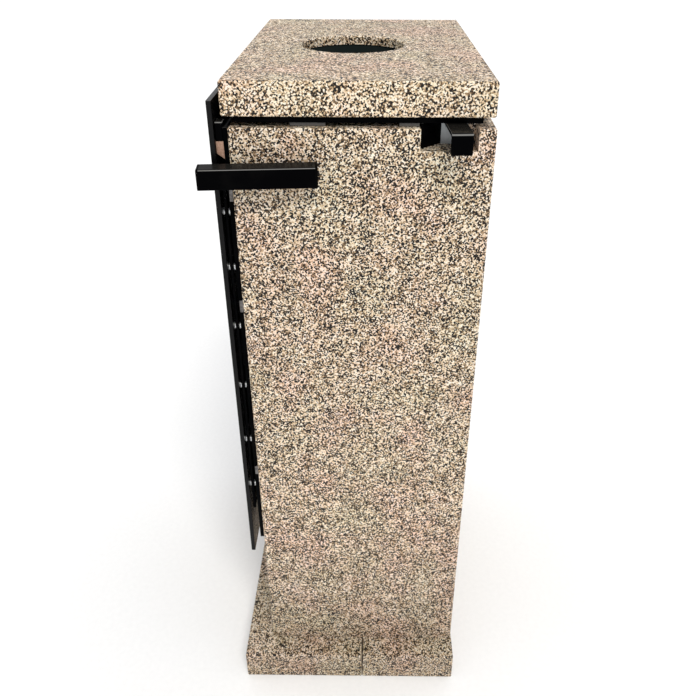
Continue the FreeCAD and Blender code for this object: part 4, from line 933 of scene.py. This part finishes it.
@dataclass
class FrontFrame:
    """The flat steel frame behind the door, its lugs, brackets, rubber buffers and screws."""

    screw_x: float = 199.0 * MM
    screw_places: tuple[float, ...] = (0.07, 0.27, 0.485, 0.7)
    buffer_slant: float = 7.0 * MM
    buffer_width: float = 14.0 * MM

    def make_buffers(self) -> None:
        """The two gum rubber buffers, cut slanting at the foot."""
        low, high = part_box("door_buffers")
        parts = []
        for left in (low.x, high.x - self.buffer_width):
            mesh = bmesh.new()
            size = Vector((self.buffer_width, high.y - low.y, high.z - low.z))
            centre = Vector((left + size.x / 2, (low.y + high.y) / 2, (low.z + high.z) / 2))
            bmesh.ops.create_cube(mesh, size=1.0, matrix=Matrix.Translation(centre) @ Matrix.Diagonal((*size, 1.0)))
            for corner in mesh.verts:
                if corner.co.y < centre.y and corner.co.z < centre.z:
                    corner.co.z += self.buffer_slant
            ease(mesh, mesh.edges[:], 0.9 * MM, 3)
            parts.append((mesh, IN_PLACE))
        piece("door_buffer_blocks", gathered(parts), BUFFER_RUBBER, "carcass", ["door_buffers"])

    def make_screws(self) -> None:
        """The countersunk screws in the frame's face."""
        screw = Screw(2.5 * MM, 4.5 * MM, 2.1 * MM, 2.5 * MM, 9 * MM, Drive.CROSS, 2.2 * MM, 1.1 * MM, 0.15 * MM)
        low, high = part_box("front_frame")
        heights = [low.z + place * (high.z - low.z) for place in self.screw_places]
        turns = [
            turned_to(Vector((0.0, -1.0, 0.0)), Vector((side * self.screw_x, low.y, height)))
            for side in (-1, 1)
            for height in heights
        ]
        piece("frame_screws_recessed", gathered([(screw.make(), turns)]), ZINC, "carcass", ["frame_screws"])

    def build(self) -> None:
        """The whole sub-assembly."""
        piece("front_frame_eased", eased_copy("front_frame", 0.7 * MM), COAT, "carcass", ["front_frame"])
        piece("frame_lugs_eased", eased_copy("frame_lugs", 0.4 * MM), DULL_ZINC, "carcass", ["frame_lugs"])
        COAT.put_on(("buffer_brackets",))
        self.make_buffers()
        self.make_screws()


@dataclass
class Door:
    """The steel door plate and its cam lock."""

    lock: tuple[float, float] = (-167.0 * MM, 620.0 * MM)
    outer_y: float = -178.5 * MM
    inner_y: float = -172.5 * MM
    body_end_y: float = -153.0 * MM
    plug_front_y: float = -179.0 * MM
    plug_end_y: float = -152.5 * MM
    plate_crease: float = 15.0  # less than the eased edges' facets turn, so that the plate's faces shade flat

    def at(self, y: float, outward: float) -> Matrix:
        """The lock's axis at a depth, pointing out through the door (-1) or into the bin (+1)."""
        return turned_to(Vector((0.0, outward, 0.0)), Vector((self.lock[0], y, self.lock[1])))

    def make_lock_body(self) -> None:
        """The chromed lock body with its rounded flange, made from its inner end outwards."""
        length = self.body_end_y - self.outer_y
        bore, barrel, flange, thick = 6.05 * MM, 9.0 * MM, 11.5 * MM, 2.5 * MM
        top = length + thick
        outline = (
            (bore, 0.0), (barrel - 0.5 * MM, 0.0), (barrel, 0.5 * MM), (barrel, length), (flange - 0.2 * MM, length),
            (flange, length + 0.3 * MM), (flange, length + 1.4 * MM), (flange - 0.4 * MM, top - 0.4 * MM),
            (flange - 1.4 * MM, top), (bore + 1.2 * MM, top), (bore + 0.3 * MM, top - 0.3 * MM), (bore, top - 1 * MM),
        )
        mesh = turned(outline, closed=True, steps=64)
        mesh.transform(self.at(self.body_end_y, -1.0))
        piece("lock_body_turned", mesh, CHROME, "door", ["lock_body"])

    def make_lock_plug(self) -> None:
        """The plug with its raised three-cornered key face."""
        radius = 6.0 * MM
        length = self.plug_end_y - self.plug_front_y
        core = turned(
            ((0.0, -length), (radius, -length), (radius, -0.6 * MM), (radius - 0.5 * MM, 0.0), (0.0, 0.0)),
            closed=False,
        )
        key = bmesh.new()
        bmesh.ops.create_cone(
            key, cap_ends=True, segments=3, radius1=3.4 * MM, radius2=3.4 * MM, depth=1.8 * MM,
            matrix=Matrix.Translation((0, 0, 0.9 * MM)) @ Matrix.Rotation(math.pi / 2, 4, "Z"),
        )
        ease(key, edges_where(key, lambda a, b: abs(a.z - b.z) > 1 * MM), 0.6 * MM, 3)
        ease(key, edges_where(key, lambda a, b: min(a.z, b.z) > 1.7 * MM), 0.25 * MM, 2)
        face = self.at(self.plug_front_y, -1.0)
        piece("lock_plug_keyed", gathered([(core, [face]), (key, [face])]), CHROME, "lock_turning", ["lock_plug"])

    def make_inside(self) -> None:
        """The nut behind the door, the cam with rounded edges, and its screw."""
        nut = hex_block(24.0 * MM, 4.0 * MM, 9.0 * MM)
        nut.transform(self.at(self.inner_y, 1.0))
        piece("lock_nut_chamfered", nut, ZINC, "door", ["lock_nut"])
        piece("lock_cam_eased", eased_copy("lock_cam", 0.4 * MM), ZINC, "lock_turning", ["lock_cam"])
        screw = Screw(4.0 * MM, 3.4 * MM, 3 * MM, 2 * MM, 14 * MM, Drive.CROSS, 2.2 * MM, 1.3 * MM, 0.9 * MM)
        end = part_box("cam_screw")[1].y
        turns = [self.at(end, 1.0)]
        piece("cam_screw_recessed", gathered([(screw.make(), turns)]), ZINC, "lock_turning", ["cam_screw"])

    def build(self) -> None:
        """The whole sub-assembly."""
        plate = eased_copy("door_plate", 0.8 * MM)
        piece("door_plate_eased", plate, DOOR_COAT, "door", ["door_plate"], crease=self.plate_crease)
        self.make_lock_body()
        self.make_lock_plug()
        self.make_inside()


@dataclass
class Carcass:
    """The galvanised inner carcass, and the liner with its bail and guides."""

    sections: tuple[str, ...] = ("corner_posts", "base_rails", "shelf_rails", "top_rails")
    sheets: tuple[str, ...] = ("side_panel_near", "side_panel_far", "floor_tray", "liner_guides", "liner_bail")
    rounded: dict[str, float] = field(default_factory=lambda: {"liner": 0.6 * MM, "liner_ears": 0.5 * MM})

    def build(self) -> None:
        """The whole sub-assembly."""
        GALVANISED.put_on(self.sections + self.sheets)
        for node, size in self.rounded.items():
            piece(f"{node}_eased", eased_copy(node, size), GALVANISED, "carcass", [node])


# ---- studio -----------------------------------------------------------------------------------
@dataclass
class Studio:
    """A plain white floor, soft lights and the camera, a little above the lid on the +X side."""

    place: Point = (1.118, 0.010, 1.1745)
    heading: float = 0.0078
    pitch: float = 0.5409
    roll: float = 0.0034
    lens: float = 38.59
    shift_x: float = -0.0234
    shift_y: float = -0.0012
    floor_size: float = 60.0
    floor_drop: float = 0.2 * MM
    light_distance: float = 4.0
    world: float = 0.75

    def add_camera(self) -> None:
        """The camera, looking along -X and down."""
        forward = Vector((
            -math.cos(self.pitch) * math.cos(self.heading),
            -math.cos(self.pitch) * math.sin(self.heading),
            -math.sin(self.pitch),
        ))
        right = forward.cross(UP).normalized()
        up = right.cross(forward)
        rolled = right * math.cos(self.roll) + up * math.sin(self.roll)
        upright = up * math.cos(self.roll) - right * math.sin(self.roll)
        data = bpy.data.cameras.new("studio_camera")
        data.sensor_width = 36.0
        data.lens = self.lens
        data.shift_x = self.shift_x
        data.shift_y = self.shift_y
        data.clip_start = 0.02
        data.clip_end = 100.0
        camera = bpy.data.objects.new("studio_camera", data)
        turn = Matrix((rolled, upright, -forward)).transposed().to_4x4()
        camera.matrix_world = Matrix.Translation(self.place) @ turn
        bpy.context.scene.collection.objects.link(camera)
        bpy.context.scene.camera = camera

    def add_light(self, name: str, source: Point, strength: float, spread: float, tint: str) -> None:
        """A distant soft light.

        Args:
            name: Its name.
            source: The direction that it comes from.
            strength: Its strength in watts per square metre.
            spread: How wide it is in the sky, in degrees.
            tint: Its colour.
        """
        data = bpy.data.lights.new(name, "SUN")
        data.energy = strength
        data.angle = math.radians(spread)
        data.color = linear(tint)[:3]
        light = bpy.data.objects.new(name, data)
        turn = Vector(source).to_track_quat("Z", "Y").to_matrix().to_4x4()
        light.matrix_world = Matrix.Translation(Vector(source) * self.light_distance) @ turn
        bpy.context.scene.collection.objects.link(light)

    def add_floor(self) -> None:
        """The floor, just under the plinth."""
        mesh = bmesh.new()
        bmesh.ops.create_grid(mesh, x_segments=1, y_segments=1, size=self.floor_size / 2)
        bmesh.ops.translate(mesh, verts=mesh.verts, vec=(0, 0, -self.floor_drop))
        data = bpy.data.meshes.new("studio_floor")
        mesh.to_mesh(data)
        mesh.free()
        data.materials.append(FLOOR_PAINT.material())
        floor = bpy.data.objects.new("studio_floor", data)
        bpy.context.scene.collection.objects.link(floor)

    def build(self) -> None:
        """The whole studio."""
        world = bpy.data.worlds.new("studio_air")
        bpy.context.scene.world = world
        world.use_nodes = True
        world.node_tree.nodes.clear()
        air = add_node(world.node_tree, "ShaderNodeBackground", {"Color": linear("#fbfcff"), "Strength": self.world})
        add_node(world.node_tree, "ShaderNodeOutputWorld", {"Surface": air.outputs[0]})
        bpy.context.scene.view_settings.view_transform = "Standard"
        self.add_camera()
        self.add_floor()
        self.add_light("key_light", (0.62, 0.20, 0.76), 1.6, 18.0, "#fffcf7")
        self.add_light("top_light", (-0.35, 0.10, 0.90), 0.5, 80.0, "#f8faff")


def main() -> None:
    """Builds the studio and every sub-assembly."""
    logging.basicConfig(level=logging.INFO, format="%(name)s: %(message)s")
    for part in (Studio(), StoneWork(), Lid(), HandleAndBar(), DoorHinge(), FrontFrame(), Door(), Carcass()):
        part.build()


if __name__ == "__main__":
    main()
